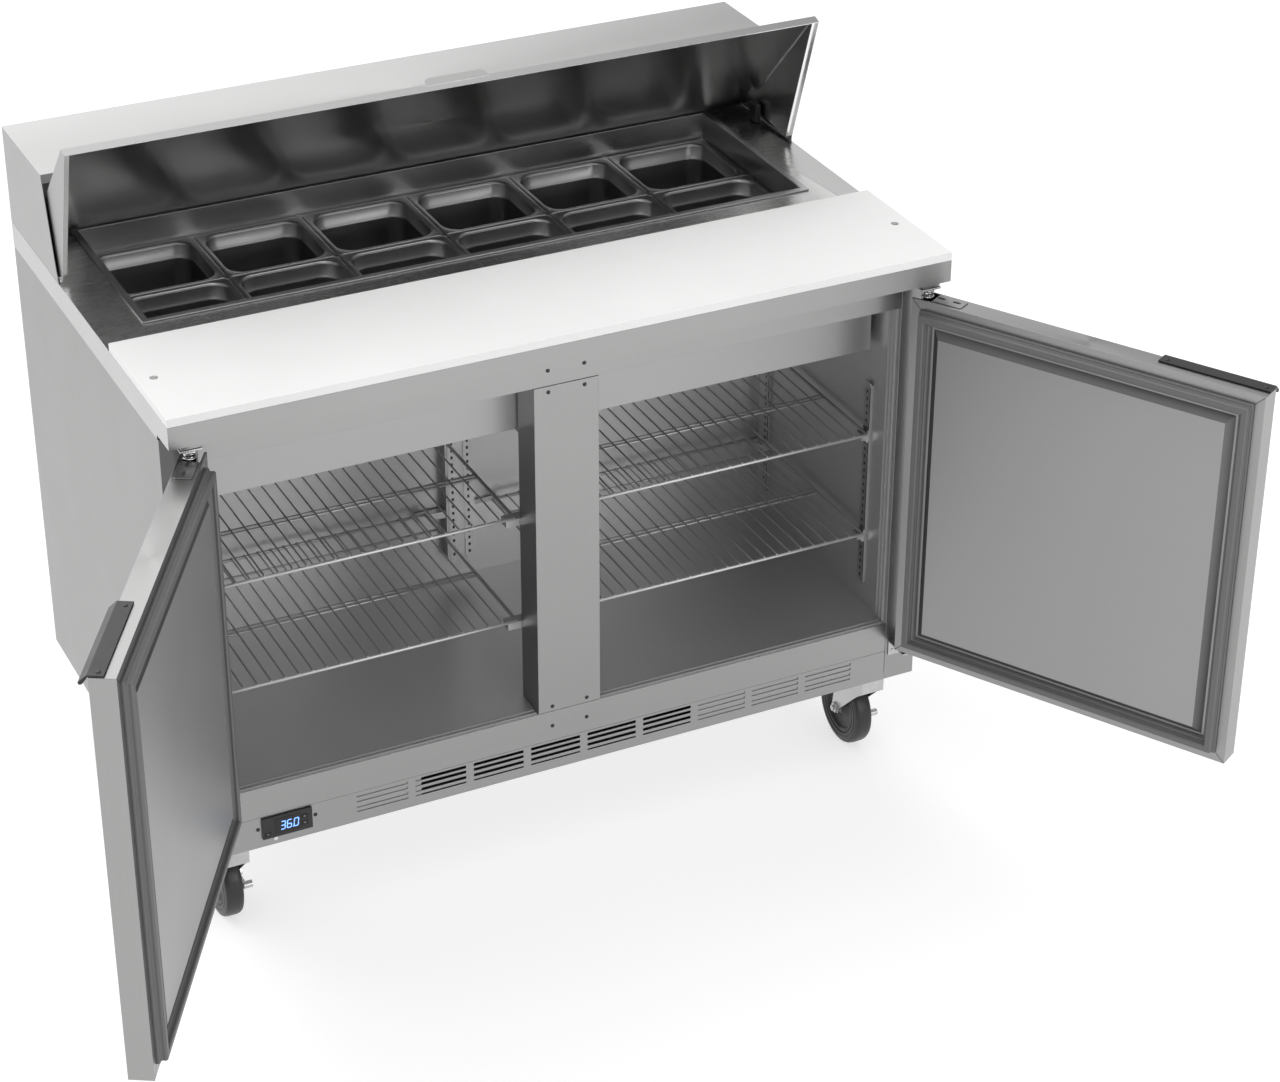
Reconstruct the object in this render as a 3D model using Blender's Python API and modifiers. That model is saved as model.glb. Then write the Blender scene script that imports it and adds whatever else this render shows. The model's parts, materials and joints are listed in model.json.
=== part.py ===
"""Two-door refrigerated sandwich prep table on casters, with twelve sixth-size food pans.

The unit stands on the floor (z = 0) and faces -Y.  The worktop's front edge is at y = 0 while the
model is built; the whole unit is then moved so that its origin is on the floor under the middle of
the unit with both doors open.  Metres, +Z up.
"""
import math

import bmesh
import bpy
from mathutils import Matrix, Vector

# ------------------------------------------------------------------ sizes
GAP = 0.0003                    # between touching pieces
SHEET = 0.0012                  # outer steel sheet

BODY_WIDTH = 1.2192             # over the side panels
BODY_BACK = 0.741               # back of the cabinet, from the worktop's front edge
FACE_Y = 0.048                  # plane of the face frame behind the worktop's nose
BODY_BOTTOM = 0.160             # floor to the underside of the cabinet

DECK_TOP = 0.9123
NOSE_BOTTOM = 0.878
SKIRT_BOTTOM = 0.871            # lower edge of the worktop's side and back skirts

STILE = 0.0536                  # end of the cabinet to the outer edge of a door opening
OPENING_HALF = BODY_WIDTH / 2 - STILE
OPENING_BOTTOM = 0.266
OPENING_TOP = 0.823
SILL_BOTTOM = 0.213             # joint between the sill rail and the lower grille

CAVITY_HALF = OPENING_HALF - 0.004
CAVITY_BACK = 0.483
CAVITY_WALL = 0.037             # foamed wall behind the cavity
MULLION_HALF = 0.0515
MULLION_BACK = 0.1097

PILASTER_YS = (0.122, 0.450)
PILASTER_WIDTH = 0.016
PILASTER_DEPTH = 0.004
PILASTER_BOTTOM = 0.309
PILASTER_TOP = 0.662
CENTRE_COLUMN_WIDTH = 0.049
CENTRE_COLUMN_DEPTH = 0.021

BOARD_DEPTH = 0.254
BOARD_THICKNESS = 0.0123
BOARD_PIN_RADIUS = 0.0050
BOARD_PIN_INSET = 0.0245        # from the end of the board
BOARD_PIN_CLEARANCE = 0.0008

PAN_COLUMNS = 6
PAN_ROWS = 2
PAN_PITCH_X = 0.1762
PAN_PITCH_Y = 0.1619
PAN_DEPTH = 0.102
PAN_RIM_WIDTH = 0.0095
PAN_SHEET = 0.0009
PAN_TAPER = 0.0045              # each side leans in by this much from rim to bottom
PAN_CORNER = 0.028
PAN_REST_Z = 0.8697             # ledge that carries the pan rims

WELL_FRONT = 0.326              # inner face of the pan well's front wall
WELL_SIDE_CLEARANCE = 0.0014    # between the end pans and the well's end walls
WELL_END_CLEARANCE = 0.0046     # between the pan rims and the well's front and back walls
WELL_RIM_WIDTH = 0.0105
WELL_RIM_HEIGHT = 0.0025
WELL_LEDGE = 0.009
WELL_LEDGE_DROP = 0.020
GRID_BAR_WIDTH = 0.011
GRID_BAR_HEIGHT = 0.012
GRID_LIP = 0.0035

HOOD_TOP = 1.0677
HOOD_FRONT = 0.540              # front edge of the hood's flat top
HOOD_FOOT = 0.498               # where the sloping side edge meets the deck
HOOD_FLANGE = 0.013

LID_PIVOT_Y = 0.497
LID_PIVOT_Z = 0.919
LID_OPEN_ANGLE = 71.0
LID_REACH = 0.2408              # pivot to the front lip, lid closed
LID_FRONT_RISE = 0.0105         # front fold above the pivot, lid closed
LID_LIP = 0.015
LID_TAIL_RADIUS = 0.141
LID_TAIL_ANGLE = 75.6
LID_SIDE_CLEARANCE = 0.0035     # between the lid's sides and the hood's sides
LID_PULL_WIDTH = 0.100
LID_PULL_HEIGHT = 0.013
LID_PULL_RADIUS = 0.011
LID_EYE_RADIUS = 0.005          # rounded lower corner about the pivot

HINGE_INSET = 0.0316            # end of the cabinet to a hinge axis
HINGE_X = BODY_WIDTH / 2 - HINGE_INSET
HINGE_Y = 0.011
HINGE_PIN_RADIUS = 0.004
HINGE_PIN_CLEARANCE = 0.0003
DOOR_OPEN_ANGLE = 120.0
DOOR_HINGE_MARGIN = 0.0152      # hinge axis to the hinge-side edge of the door
DOOR_CENTRE_CLEAR = 0.0235      # middle of the unit to the free edge of a closed door
DOOR_WIDTH = HINGE_X + DOOR_HINGE_MARGIN - DOOR_CENTRE_CLEAR
DOOR_THICKNESS = 0.0354
DOOR_INNER_OFFSET = 0.0207      # hinge axis to the door's inner face
DOOR_BOTTOM = 0.2367
DOOR_TOP = 0.8569
DOOR_POCKET = 0.026
GASKET_INSET = 0.0154
GASKET_WIDTH = 0.021
LINER_INSET = 0.0385
LINER_SLOPE = 0.0115
LINER_RISE = 0.010
HANDLE_LENGTH = 0.1735
HANDLE_THICKNESS = 0.0025
HANDLE_INSET = 0.0155           # from the door's inner face
HANDLE_LIP_OUT = 0.0125
HANDLE_LIP_DROP = 0.0105

SHELF_TOPS = (0.406, 0.585)
SHELF_FRONT = 0.106
SHELF_BACK = 0.470
SHELF_WIRE = 0.005
SHELF_PITCH = 0.0213
SHELF_SIDE_GAP = 0.0075
CLIP_HEIGHT = 0.012
CLIP_WIDTH = 0.014

GRILLE_GROUPS = 9
GRILLE_PITCH = 0.0953
GRILLE_SLOT = 0.0824
GRILLE_ROWS = ((0.2060, 0.005), (0.1970, 0.005), (0.1870, 0.005), (0.1780, 0.0026))
CONTROLLER_INSET = 0.09365      # edge of the grille to the middle of the controller
CONTROLLER_X = CONTROLLER_INSET - OPENING_HALF
GRILLE_FIRST_X = CONTROLLER_X + 0.11135
CONTROLLER_Z = 0.19275
CONTROLLER_WIDTH = 0.0787
CONTROLLER_HEIGHT = 0.0365
CONTROLLER_BEZEL = 0.0032
BUTTON_TRAVEL = 0.0008

CASTER_INSET = 0.0686           # end of the cabinet to a swivel axis
CASTER_X = BODY_WIDTH / 2 - CASTER_INSET
CASTER_YS = (FACE_Y + 0.054, BODY_BACK - 0.101)
CASTER_TRAIL = 0.035
WHEEL_RADIUS = 0.0635
WHEEL_WIDTH = 0.030
FORK_SIDE = 0.0025
FORK_GAP = 0.002
AXLE_RADIUS = 0.005
AXLE_CLEARANCE = 0.0003
SWIVEL_CLEARANCE = 0.0006
CASTER_PAD = 0.0027
LEVER_LENGTH = 0.040

EVAPORATOR_FRONT = 0.1103
EVAPORATOR_BACK = 0.310
EVAPORATOR_BOTTOM = 0.729
EVAPORATOR_HALF = CAVITY_HALF - 0.011

# ------------------------------------------------------------------ clean start
for leftover in list(bpy.data.objects):
    bpy.data.objects.remove(leftover, do_unlink=True)

unit_collection = bpy.data.collections.new("prep_table")
cutter_collection = bpy.data.collections.new("cutters")
bpy.context.scene.collection.children.link(unit_collection)
bpy.context.scene.collection.children.link(cutter_collection)


def steel(name, colour, roughness, metallic):
    material = bpy.data.materials.new(name)
    material.use_nodes = True
    shader = material.node_tree.nodes["Principled BSDF"]
    shader.inputs["Base Color"].default_value = (*colour, 1.0)
    shader.inputs["Roughness"].default_value = roughness
    shader.inputs["Metallic"].default_value = metallic
    material.diffuse_color = (*colour, 1.0)
    return material


LOOKS = {
    "outer_steel": ((0.62, 0.62, 0.61), 0.34, 1.0),
    "front_steel": ((0.50, 0.50, 0.50), 0.36, 1.0),
    "deck_steel": ((0.55, 0.55, 0.55), 0.28, 1.0),
    "liner": ((0.40, 0.40, 0.40), 0.45, 0.0),
    "pan_steel": ((0.36, 0.36, 0.36), 0.25, 1.0),
    "board": ((0.93, 0.93, 0.92), 0.55, 0.0),
    "black_plastic": ((0.02, 0.02, 0.02), 0.45, 0.0),
    "gasket": ((0.20, 0.20, 0.20), 0.60, 0.0),
    "wire": ((0.62, 0.62, 0.61), 0.50, 0.0),
    "zinc": ((0.45, 0.45, 0.45), 0.40, 1.0),
    "tread": ((0.03, 0.03, 0.03), 0.60, 0.0),
    "copper_black": ((0.05, 0.05, 0.05), 0.50, 0.0),
    "fin_aluminium": ((0.70, 0.70, 0.70), 0.35, 1.0),
}


def finish(obj, look):
    """Give the object its own material of one of the looks, and smooth its round faces."""
    colour, roughness, metallic = LOOKS[look]
    obj.data.materials.clear()
    obj.data.materials.append(steel(obj.name, colour, roughness, metallic))
    obj.data.shade_smooth()
    obj.data.set_sharp_from_angle(angle=math.radians(35))
    return obj


def unit_object(name, mesh, look, parent=None, location=(0.0, 0.0, 0.0)):
    obj = bpy.data.objects.new(name, mesh)
    unit_collection.objects.link(obj)
    obj.location = location
    obj.parent = parent or base
    return finish(obj, look)


def pivot(name, location, rotation=(0.0, 0.0, 0.0), parent=None):
    empty = bpy.data.objects.new(name, None)
    unit_collection.objects.link(empty)
    empty.location = location
    empty.rotation_euler = rotation
    empty.parent = parent
    return empty


base = pivot("prep_table_base", (0.0, 0.0, 0.0))


# ------------------------------------------------------------------ shape helpers
def mesh_from(bm, name):
    mesh = bpy.data.meshes.new(name)
    bm.to_mesh(mesh)
    bm.free()
    return mesh


def boxes(name, corners):
    """A mesh of separate boxes, each given as (x0, x1, y0, y1, z0, z1)."""
    bm = bmesh.new()
    for x0, x1, y0, y1, z0, z1 in corners:
        centre = Vector(((x0 + x1) / 2, (y0 + y1) / 2, (z0 + z1) / 2))
        size = Matrix.Diagonal((abs(x1 - x0), abs(y1 - y0), abs(z1 - z0), 1.0))
        bmesh.ops.create_cube(bm, size=1.0, matrix=Matrix.Translation(centre) @ size)
    return mesh_from(bm, name)


AXIS_TURN = {
    "X": Matrix.Rotation(math.radians(90), 4, "Y"),
    "Y": Matrix.Rotation(math.radians(-90), 4, "X"),
    "Z": Matrix.Identity(4),
}


def rods(name, items, segments=24):
    """A mesh of separate cylinders, each (centre, radius, length, axis)."""
    bm = bmesh.new()
    for centre, radius, length, axis in items:
        place = Matrix.Translation(Vector(centre)) @ AXIS_TURN[axis]
        bmesh.ops.create_cone(bm, cap_ends=True, segments=segments, radius1=radius,
                              radius2=radius, depth=length, matrix=place)
    return mesh_from(bm, name)


def outline_solid(name, points, depth, plane):
    """Extrude a closed outline symmetrically: plane "YZ" along X, "XZ" along Y, "XY" along Z."""
    curve = bpy.data.curves.new(name, "CURVE")
    curve.dimensions = "2D"
    curve.fill_mode = "BOTH"
    curve.extrude = depth / 2
    spline = curve.splines.new("POLY")
    spline.points.add(len(points) - 1)
    for point, (u, v) in zip(spline.points, points):
        point.co = (u, v, 0.0, 1.0)
    spline.use_cyclic_u = True
    holder = bpy.data.objects.new(name, curve)
    bpy.context.scene.collection.objects.link(holder)
    bpy.context.view_layer.update()
    evaluated = holder.evaluated_get(bpy.context.evaluated_depsgraph_get())
    mesh = bpy.data.meshes.new_from_object(evaluated)
    bpy.data.objects.remove(holder, do_unlink=True)
    if plane == "YZ":
        turn = Matrix(((0, 0, 1, 0), (1, 0, 0, 0), (0, 1, 0, 0), (0, 0, 0, 1)))
    elif plane == "XZ":
        turn = Matrix(((1, 0, 0, 0), (0, 0, 1, 0), (0, 1, 0, 0), (0, 0, 0, 1)))
    else:
        turn = Matrix.Identity(4)
    bm = bmesh.new()
    bm.from_mesh(mesh)
    bmesh.ops.remove_doubles(bm, verts=bm.verts, dist=0.00001)
    bmesh.ops.transform(bm, matrix=turn, verts=bm.verts)
    bmesh.ops.recalc_face_normals(bm, faces=bm.faces)
    bm.to_mesh(mesh)
    bm.free()
    return mesh


def tool(name, mesh, parent=None):
    """A hidden helper solid that cuts or joins another object."""
    obj = bpy.data.objects.new(name, mesh)
    cutter_collection.objects.link(obj)
    obj.parent = parent or base
    obj.hide_render = True
    obj.display_type = "WIRE"
    return obj


def boolean(obj, mesh, operation, label):
    helper = tool(obj.name + "_" + label, mesh, obj.parent)
    helper.location = obj.location
    modifier = obj.modifiers.new(label, "BOOLEAN")
    modifier.operation = operation
    modifier.object = helper
    modifier.solver = "EXACT"
    return obj


def cut(obj, mesh, label="cut"):
    return boolean(obj, mesh, "DIFFERENCE", label)


def join(obj, mesh, label="join"):
    return boolean(obj, mesh, "UNION", label)


def span(a, b):
    return (min(a, b), max(a, b))


def rounded_rectangle(half_x, half_y, radius, steps=4):
    points = []
    for sx, sy, start in ((1, 1, 0), (-1, 1, 90), (-1, -1, 180), (1, -1, 270)):
        for step in range(steps + 1):
            a = math.radians(start + 90.0 * step / steps)
            points.append((sx * (half_x - radius) + radius * math.cos(a),
                           sy * (half_y - radius) + radius * math.sin(a)))
    return points


# ------------------------------------------------------------------ insulated body
half = BODY_WIDTH / 2
tub_half = half - 2 * SHEET - 2 * GAP
tub_front = FACE_Y + SHEET + GAP
tub_top = SKIRT_BOTTOM - 0.001
well_back = WELL_FRONT + PAN_ROWS * PAN_PITCH_Y + 2 * WELL_END_CLEARANCE
well_half = PAN_COLUMNS * PAN_PITCH_X / 2 + WELL_SIDE_CLEARANCE
pocket_half = well_half + SHEET + GAP
pocket_front = WELL_FRONT - SHEET - GAP
pocket_back = well_back + SHEET + GAP
pocket_floor = PAN_REST_Z - PAN_DEPTH - 0.035
machine_front = CAVITY_BACK + CAVITY_WALL
upper_back = pocket_back + 0.036
tub_outline = [
    (tub_front, SILL_BOTTOM + GAP), (machine_front, SILL_BOTTOM + GAP),
    (machine_front, pocket_floor - 0.040), (upper_back, pocket_floor - 0.040),
    (upper_back, tub_top), (tub_front, tub_top),
]
insulated_body = unit_object(
    "insulated_body", outline_solid("insulated_body", tub_outline, 2 * tub_half, "YZ"), "liner")
cut(insulated_body, boxes("cavity", [
    (-CAVITY_HALF, CAVITY_HALF, tub_front - 0.02, CAVITY_BACK, OPENING_BOTTOM, OPENING_TOP)]),
    "cavity")
cut(insulated_body, boxes("pan_pocket", [
    (-pocket_half, pocket_half, pocket_front, pocket_back, pocket_floor, tub_top + 0.02)]),
    "pocket")
stem_half = MULLION_HALF - SHEET - GAP
stem = boxes("stem", [(-stem_half, stem_half, tub_front, MULLION_BACK,
                       OPENING_BOTTOM - 0.005, OPENING_TOP + 0.005)])
join(insulated_body, stem, "stem")

wall_features = []
for side in (-1, 1):
    for y in PILASTER_YS:
        wall_features.append((side * (CAVITY_HALF - PILASTER_DEPTH), side * (CAVITY_HALF + 0.002),
                              y - PILASTER_WIDTH / 2, y + PILASTER_WIDTH / 2,
                              PILASTER_BOTTOM, PILASTER_TOP))
wall_features.append((-CENTRE_COLUMN_WIDTH / 2, CENTRE_COLUMN_WIDTH / 2,
                      CAVITY_BACK - CENTRE_COLUMN_DEPTH, CAVITY_BACK + 0.002,
                      PILASTER_BOTTOM, PILASTER_TOP))
join(insulated_body, boxes("pilasters", [
    (min(a, b), max(a, b), y0, y1, z0, z1) for a, b, y0, y1, z0, z1 in wall_features]), "pilaster")
# shelf clips: on the side walls, on the mullion's back and on the rear centre column
clip_boxes = []
for shelf_top in SHELF_TOPS:
    z1 = shelf_top - SHELF_WIRE - GAP
    z0 = z1 - CLIP_HEIGHT
    for side in (-1, 1):
        for y in PILASTER_YS:
            clip_boxes.append((side * (CAVITY_HALF - 0.017), side * (CAVITY_HALF - PILASTER_DEPTH / 2),
                               y - CLIP_WIDTH / 2, y + CLIP_WIDTH / 2, z0, z1))
        clip_boxes.append((side * (CENTRE_COLUMN_WIDTH / 2 - 0.002), side * (MULLION_HALF + 0.022),
                           CAVITY_BACK - CENTRE_COLUMN_DEPTH + 0.003, CAVITY_BACK - 0.004, z0, z1))
        clip_boxes.append((side * (MULLION_HALF - 0.012), side * (MULLION_HALF + 0.022),
                           MULLION_BACK - 0.003, MULLION_BACK + 0.016, z0, z1))
join(insulated_body, boxes("clips", [
    (min(a, b), max(a, b), y0, y1, z0, z1) for a, b, y0, y1, z0, z1 in clip_boxes]), "clip")

# ------------------------------------------------------------------ outer casing
panel_outer = half - GAP
for side, tag in ((-1, "left"), (1, "right")):
    outline = [(panel_outer, FACE_Y), (panel_outer, BODY_BACK), (panel_outer - SHEET, BODY_BACK),
               (panel_outer - SHEET, FACE_Y + SHEET), (OPENING_HALF + GAP, FACE_Y + SHEET),
               (OPENING_HALF + GAP, FACE_Y)]
    outline = [(side * x, y) for x, y in outline]
    height = SKIRT_BOTTOM - GAP - (BODY_BOTTOM + GAP)
    unit_object("side_panel_" + tag,
                outline_solid("side_panel_" + tag, outline, height, "XY"), "outer_steel",
                location=(0, 0, BODY_BOTTOM + GAP + height / 2))

back_half = panel_outer - SHEET - GAP
back_panel = unit_object("back_panel", boxes("back_panel", [
    (-back_half, back_half, BODY_BACK - SHEET, BODY_BACK,
     BODY_BOTTOM + SHEET + GAP, SKIRT_BOTTOM - 2 * GAP)]), "outer_steel")
louvres = []
for centre_x in (-0.27, 0.27):
    for row in range(9):
        z = 0.235 + 0.032 * row
        louvres.append((centre_x - 0.16, centre_x + 0.16, BODY_BACK - 0.01, BODY_BACK + 0.01,
                        z, z + 0.007))
cut(back_panel, boxes("louvres", louvres), "louvre")

bottom_pan = unit_object("bottom_pan", boxes("bottom_pan", [
    (-back_half, back_half, FACE_Y + 0.018, BODY_BACK - SHEET - GAP,
     BODY_BOTTOM, BODY_BOTTOM + SHEET)]), "zinc")
join(bottom_pan, boxes("caster_pads", [
    (side * CASTER_X - 0.042, side * CASTER_X + 0.042, y - 0.034, y + 0.034,
     BODY_BOTTOM - CASTER_PAD, BODY_BOTTOM + SHEET / 2)
    for side in (-1, 1) for y in CASTER_YS]), "pads")
swivel_hole = 0.0065 + SWIVEL_CLEARANCE
cut(bottom_pan, rods("swivel_holes", [
    ((side * CASTER_X, y, BODY_BOTTOM), swivel_hole, 0.02, "Z")
    for side in (-1, 1) for y in CASTER_YS]), "holes")

grille_half = OPENING_HALF - GAP
grille_outline = [
    (FACE_Y, BODY_BOTTOM), (FACE_Y, SILL_BOTTOM - GAP), (FACE_Y + 0.016, SILL_BOTTOM - GAP),
    (FACE_Y + 0.016, SILL_BOTTOM - GAP - SHEET), (FACE_Y + SHEET, SILL_BOTTOM - GAP - SHEET),
    (FACE_Y + SHEET, BODY_BOTTOM + SHEET), (FACE_Y + 0.016, BODY_BOTTOM + SHEET),
    (FACE_Y + 0.016, BODY_BOTTOM),
]
base_grille = unit_object("base_grille", outline_solid(
    "base_grille", grille_outline, 2 * grille_half, "YZ"), "front_steel")
slots = []
for group in range(GRILLE_GROUPS):
    x0 = GRILLE_FIRST_X + group * GRILLE_PITCH
    for z, tall in GRILLE_ROWS:
        slots.append((x0, x0 + GRILLE_SLOT, FACE_Y - 0.005, FACE_Y + 0.006, z - tall / 2, z + tall / 2))
slots.append((CONTROLLER_X - CONTROLLER_WIDTH / 2 + 0.003, CONTROLLER_X + CONTROLLER_WIDTH / 2 - 0.003,
              FACE_Y - 0.005, FACE_Y + 0.006,
              CONTROLLER_Z - CONTROLLER_HEIGHT / 2 + 0.003, CONTROLLER_Z + CONTROLLER_HEIGHT / 2 - 0.003))
cut(base_grille, boxes("grille_slots", slots), "slots")

unit_object("sill_rail", boxes("sill_rail", [
    (-grille_half, grille_half, FACE_Y, FACE_Y + SHEET, SILL_BOTTOM, OPENING_BOTTOM - 0.001)]),
    "front_steel")
unit_object("top_rail", boxes("top_rail", [
    (-grille_half, grille_half, FACE_Y, FACE_Y + SHEET, OPENING_TOP + 0.0005, NOSE_BOTTOM - GAP)]),
    "front_steel")
cover_front = FACE_Y - 0.0008
mullion_cover = unit_object("mullion_cover", boxes("mullion_cover", [
    (-MULLION_HALF, MULLION_HALF, cover_front, MULLION_BACK - 0.004,
     OPENING_BOTTOM + GAP, OPENING_TOP - GAP)]), "front_steel")
cut(mullion_cover, boxes("mullion_hollow", [
    (-MULLION_HALF + SHEET, MULLION_HALF - SHEET, cover_front + SHEET, MULLION_BACK + 0.01,
     OPENING_BOTTOM - 0.02, OPENING_TOP + 0.02)]), "hollow")

# ------------------------------------------------------------------ worktop
worktop = unit_object("worktop", boxes("worktop", [
    (-half, half, 0.0, BODY_BACK, SKIRT_BOTTOM, DECK_TOP)]), "deck_steel")
nose_back = FACE_Y + 0.004
cut(worktop, boxes("worktop_hollow", [
    (-half + SHEET, half - SHEET, nose_back, BODY_BACK - SHEET, SKIRT_BOTTOM - 0.02,
     DECK_TOP - SHEET)]), "hollow")
cut(worktop, boxes("nose_clear", [
    (-half - 0.01, half + 0.01, -0.01, nose_back - 0.0005, SKIRT_BOTTOM - 0.01, NOSE_BOTTOM)]),
    "nose")
rim_outer_x = well_half + WELL_RIM_WIDTH
cut(worktop, boxes("well_opening", [
    (-well_half - SHEET - 2 * GAP, well_half + SHEET + 2 * GAP,
     WELL_FRONT - SHEET - 2 * GAP, well_back + SHEET + 2 * GAP, DECK_TOP - 0.02, DECK_TOP + 0.02)]),
    "well")
pin_x = half - BOARD_PIN_INSET
pin_top = DECK_TOP + GAP + BOARD_THICKNESS
join(worktop, rods("board_pins", [
    ((side * pin_x, BOARD_DEPTH / 2, (DECK_TOP - 0.0006 + pin_top) / 2), BOARD_PIN_RADIUS,
     pin_top - DECK_TOP + 0.0006, "Z") for side in (-1, 1)]), "pins")
hinge_block_bottom = NOSE_BOTTOM - 0.005
join(worktop, boxes("hinge_blocks", [
    (side * HINGE_X - 0.014, side * HINGE_X + 0.014, HINGE_Y - 0.009, nose_back - 0.006,
     hinge_block_bottom, NOSE_BOTTOM + 0.001) for side in (-1, 1)]), "hinge_block")
top_pin_foot = DOOR_TOP - DOOR_POCKET + 0.006
join(worktop, rods("hinge_pins", [
    ((side * HINGE_X, HINGE_Y, (hinge_block_bottom + 0.001 + top_pin_foot) / 2), HINGE_PIN_RADIUS,
     hinge_block_bottom + 0.001 - top_pin_foot, "Z") for side in (-1, 1)], 16), "hinge_pin")

board = unit_object("cutting_board", boxes("cutting_board", [
    (-half, half, 0.0, BOARD_DEPTH, DECK_TOP + GAP, pin_top)]), "board")
cut(board, rods("board_holes", [
    ((side * pin_x, BOARD_DEPTH / 2, DECK_TOP), BOARD_PIN_RADIUS + BOARD_PIN_CLEARANCE, 0.06, "Z")
    for side in (-1, 1)]), "holes")

# ------------------------------------------------------------------ pan well and its grid
ledge_front = WELL_FRONT + WELL_LEDGE
ledge_back = well_back - WELL_LEDGE
ledge_side = well_half - WELL_LEDGE
well_bottom = PAN_REST_Z - WELL_LEDGE_DROP
grid_top = PAN_REST_Z
grid_bottom = grid_top - GRID_BAR_HEIGHT
pan_well = unit_object("pan_well", boxes("pan_well", [
    (-well_half - SHEET, well_half + SHEET, WELL_FRONT - SHEET, well_back + SHEET,
     well_bottom, DECK_TOP + GAP + WELL_RIM_HEIGHT)]), "deck_steel")
join(pan_well, boxes("rim", [
    (-rim_outer_x, rim_outer_x, WELL_FRONT - WELL_RIM_WIDTH, well_back + WELL_RIM_WIDTH,
     DECK_TOP + GAP, DECK_TOP + GAP + WELL_RIM_HEIGHT)]), "rim")
cut(pan_well, boxes("well_space", [
    (-well_half, well_half, WELL_FRONT, well_back, PAN_REST_Z, DECK_TOP + 0.05)]), "space")
cut(pan_well, boxes("well_inner", [
    (-ledge_side, ledge_side, ledge_front, ledge_back, grid_bottom - GAP, PAN_REST_Z + 0.01)]),
    "inner")
cut(pan_well, boxes("well_drop", [
    (-ledge_side, ledge_side, ledge_front + GRID_LIP, ledge_back - GRID_LIP,
     well_bottom - 0.02, PAN_REST_Z)]), "drop")

grid_mid_y = (WELL_FRONT + well_back) / 2
pan_grid = unit_object("pan_divider_grid", boxes("pan_divider_grid", [
    (-ledge_side + GAP, ledge_side - GAP, grid_mid_y - GRID_BAR_WIDTH / 2,
     grid_mid_y + GRID_BAR_WIDTH / 2, grid_bottom, grid_top)]), "pan_steel")
for column in range(1, PAN_COLUMNS):
    x = (column - PAN_COLUMNS / 2) * PAN_PITCH_X
    join(pan_grid, boxes("grid_bar", [
        (x - GRID_BAR_WIDTH / 2, x + GRID_BAR_WIDTH / 2, ledge_front + GAP, ledge_back - GAP,
         grid_bottom, grid_top)]), "bar%d" % column)


# ------------------------------------------------------------------ food pans
def pan_mesh():
    """Sixth-size pan, made from rounded-rectangle loops: under the rim, over it, and down inside."""
    rim_x = PAN_PITCH_X / 2 - GAP
    rim_y = PAN_PITCH_Y / 2 - GAP
    mouth_x = rim_x - PAN_RIM_WIDTH
    mouth_y = rim_y - PAN_RIM_WIDTH
    rim_top = PAN_SHEET + 0.0012
    shoulder = -0.018
    wall = PAN_SHEET
    taper = PAN_TAPER
    loops = [
        (mouth_x + wall - taper, mouth_y + wall - taper, PAN_CORNER, -PAN_DEPTH),
        (mouth_x + wall, mouth_y + wall, PAN_CORNER, shoulder),
        (mouth_x + wall, mouth_y + wall, PAN_CORNER, 0.0),
        (rim_x, rim_y, 0.006, 0.0),
        (rim_x, rim_y, 0.006, rim_top * 0.6),
        (rim_x - 0.0015, rim_y - 0.0015, 0.006, rim_top),
        (mouth_x + 0.002, mouth_y + 0.002, PAN_CORNER, rim_top),
        (mouth_x, mouth_y, PAN_CORNER, 0.0),
        (mouth_x, mouth_y, PAN_CORNER, shoulder),
        (mouth_x - taper, mouth_y - taper, PAN_CORNER, -PAN_DEPTH + wall),
    ]
    bm = bmesh.new()
    rings = []
    for half_x, half_y, radius, z in loops:
        ring = [bm.verts.new((x, y, z)) for x, y in rounded_rectangle(half_x, half_y, radius, 3)]
        rings.append(ring)
    for below, above in zip(rings, rings[1:]):
        for i in range(len(below)):
            j = (i + 1) % len(below)
            bm.faces.new((below[i], below[j], above[j], above[i]))
    bm.faces.new(list(reversed(rings[0])))
    bm.faces.new(rings[-1])
    bmesh.ops.recalc_face_normals(bm, faces=bm.faces)
    return mesh_from(bm, "sixth_pan")


pan_shape = pan_mesh()
for row in range(PAN_ROWS):
    for column in range(PAN_COLUMNS):
        x = (column - (PAN_COLUMNS - 1) / 2) * PAN_PITCH_X
        y = grid_mid_y + (row - (PAN_ROWS - 1) / 2) * PAN_PITCH_Y
        unit_object("pan_%s%d" % ("front" if row == 0 else "rear", column + 1),
                    pan_shape.copy(), "pan_steel", location=(x, y, PAN_REST_Z + GAP))

# ------------------------------------------------------------------ hood
hood_outline = [(HOOD_FOOT, DECK_TOP + GAP), (BODY_BACK, DECK_TOP + GAP), (BODY_BACK, HOOD_TOP),
                (HOOD_FRONT, HOOD_TOP)]
hood = unit_object("hood", outline_solid("hood", hood_outline, BODY_WIDTH, "YZ"), "outer_steel")
hood_inner = [(HOOD_FOOT - 0.05, DECK_TOP - 0.02), (BODY_BACK - SHEET, DECK_TOP - 0.02),
              (BODY_BACK - SHEET, HOOD_TOP - SHEET), (HOOD_FRONT + SHEET, HOOD_TOP - SHEET),
              (HOOD_FRONT + SHEET, HOOD_TOP - HOOD_FLANGE), (HOOD_FOOT - 0.05, HOOD_TOP - HOOD_FLANGE)]
cut(hood, outline_solid("hood_space", hood_inner, BODY_WIDTH - 2 * SHEET, "YZ"), "space")

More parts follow.
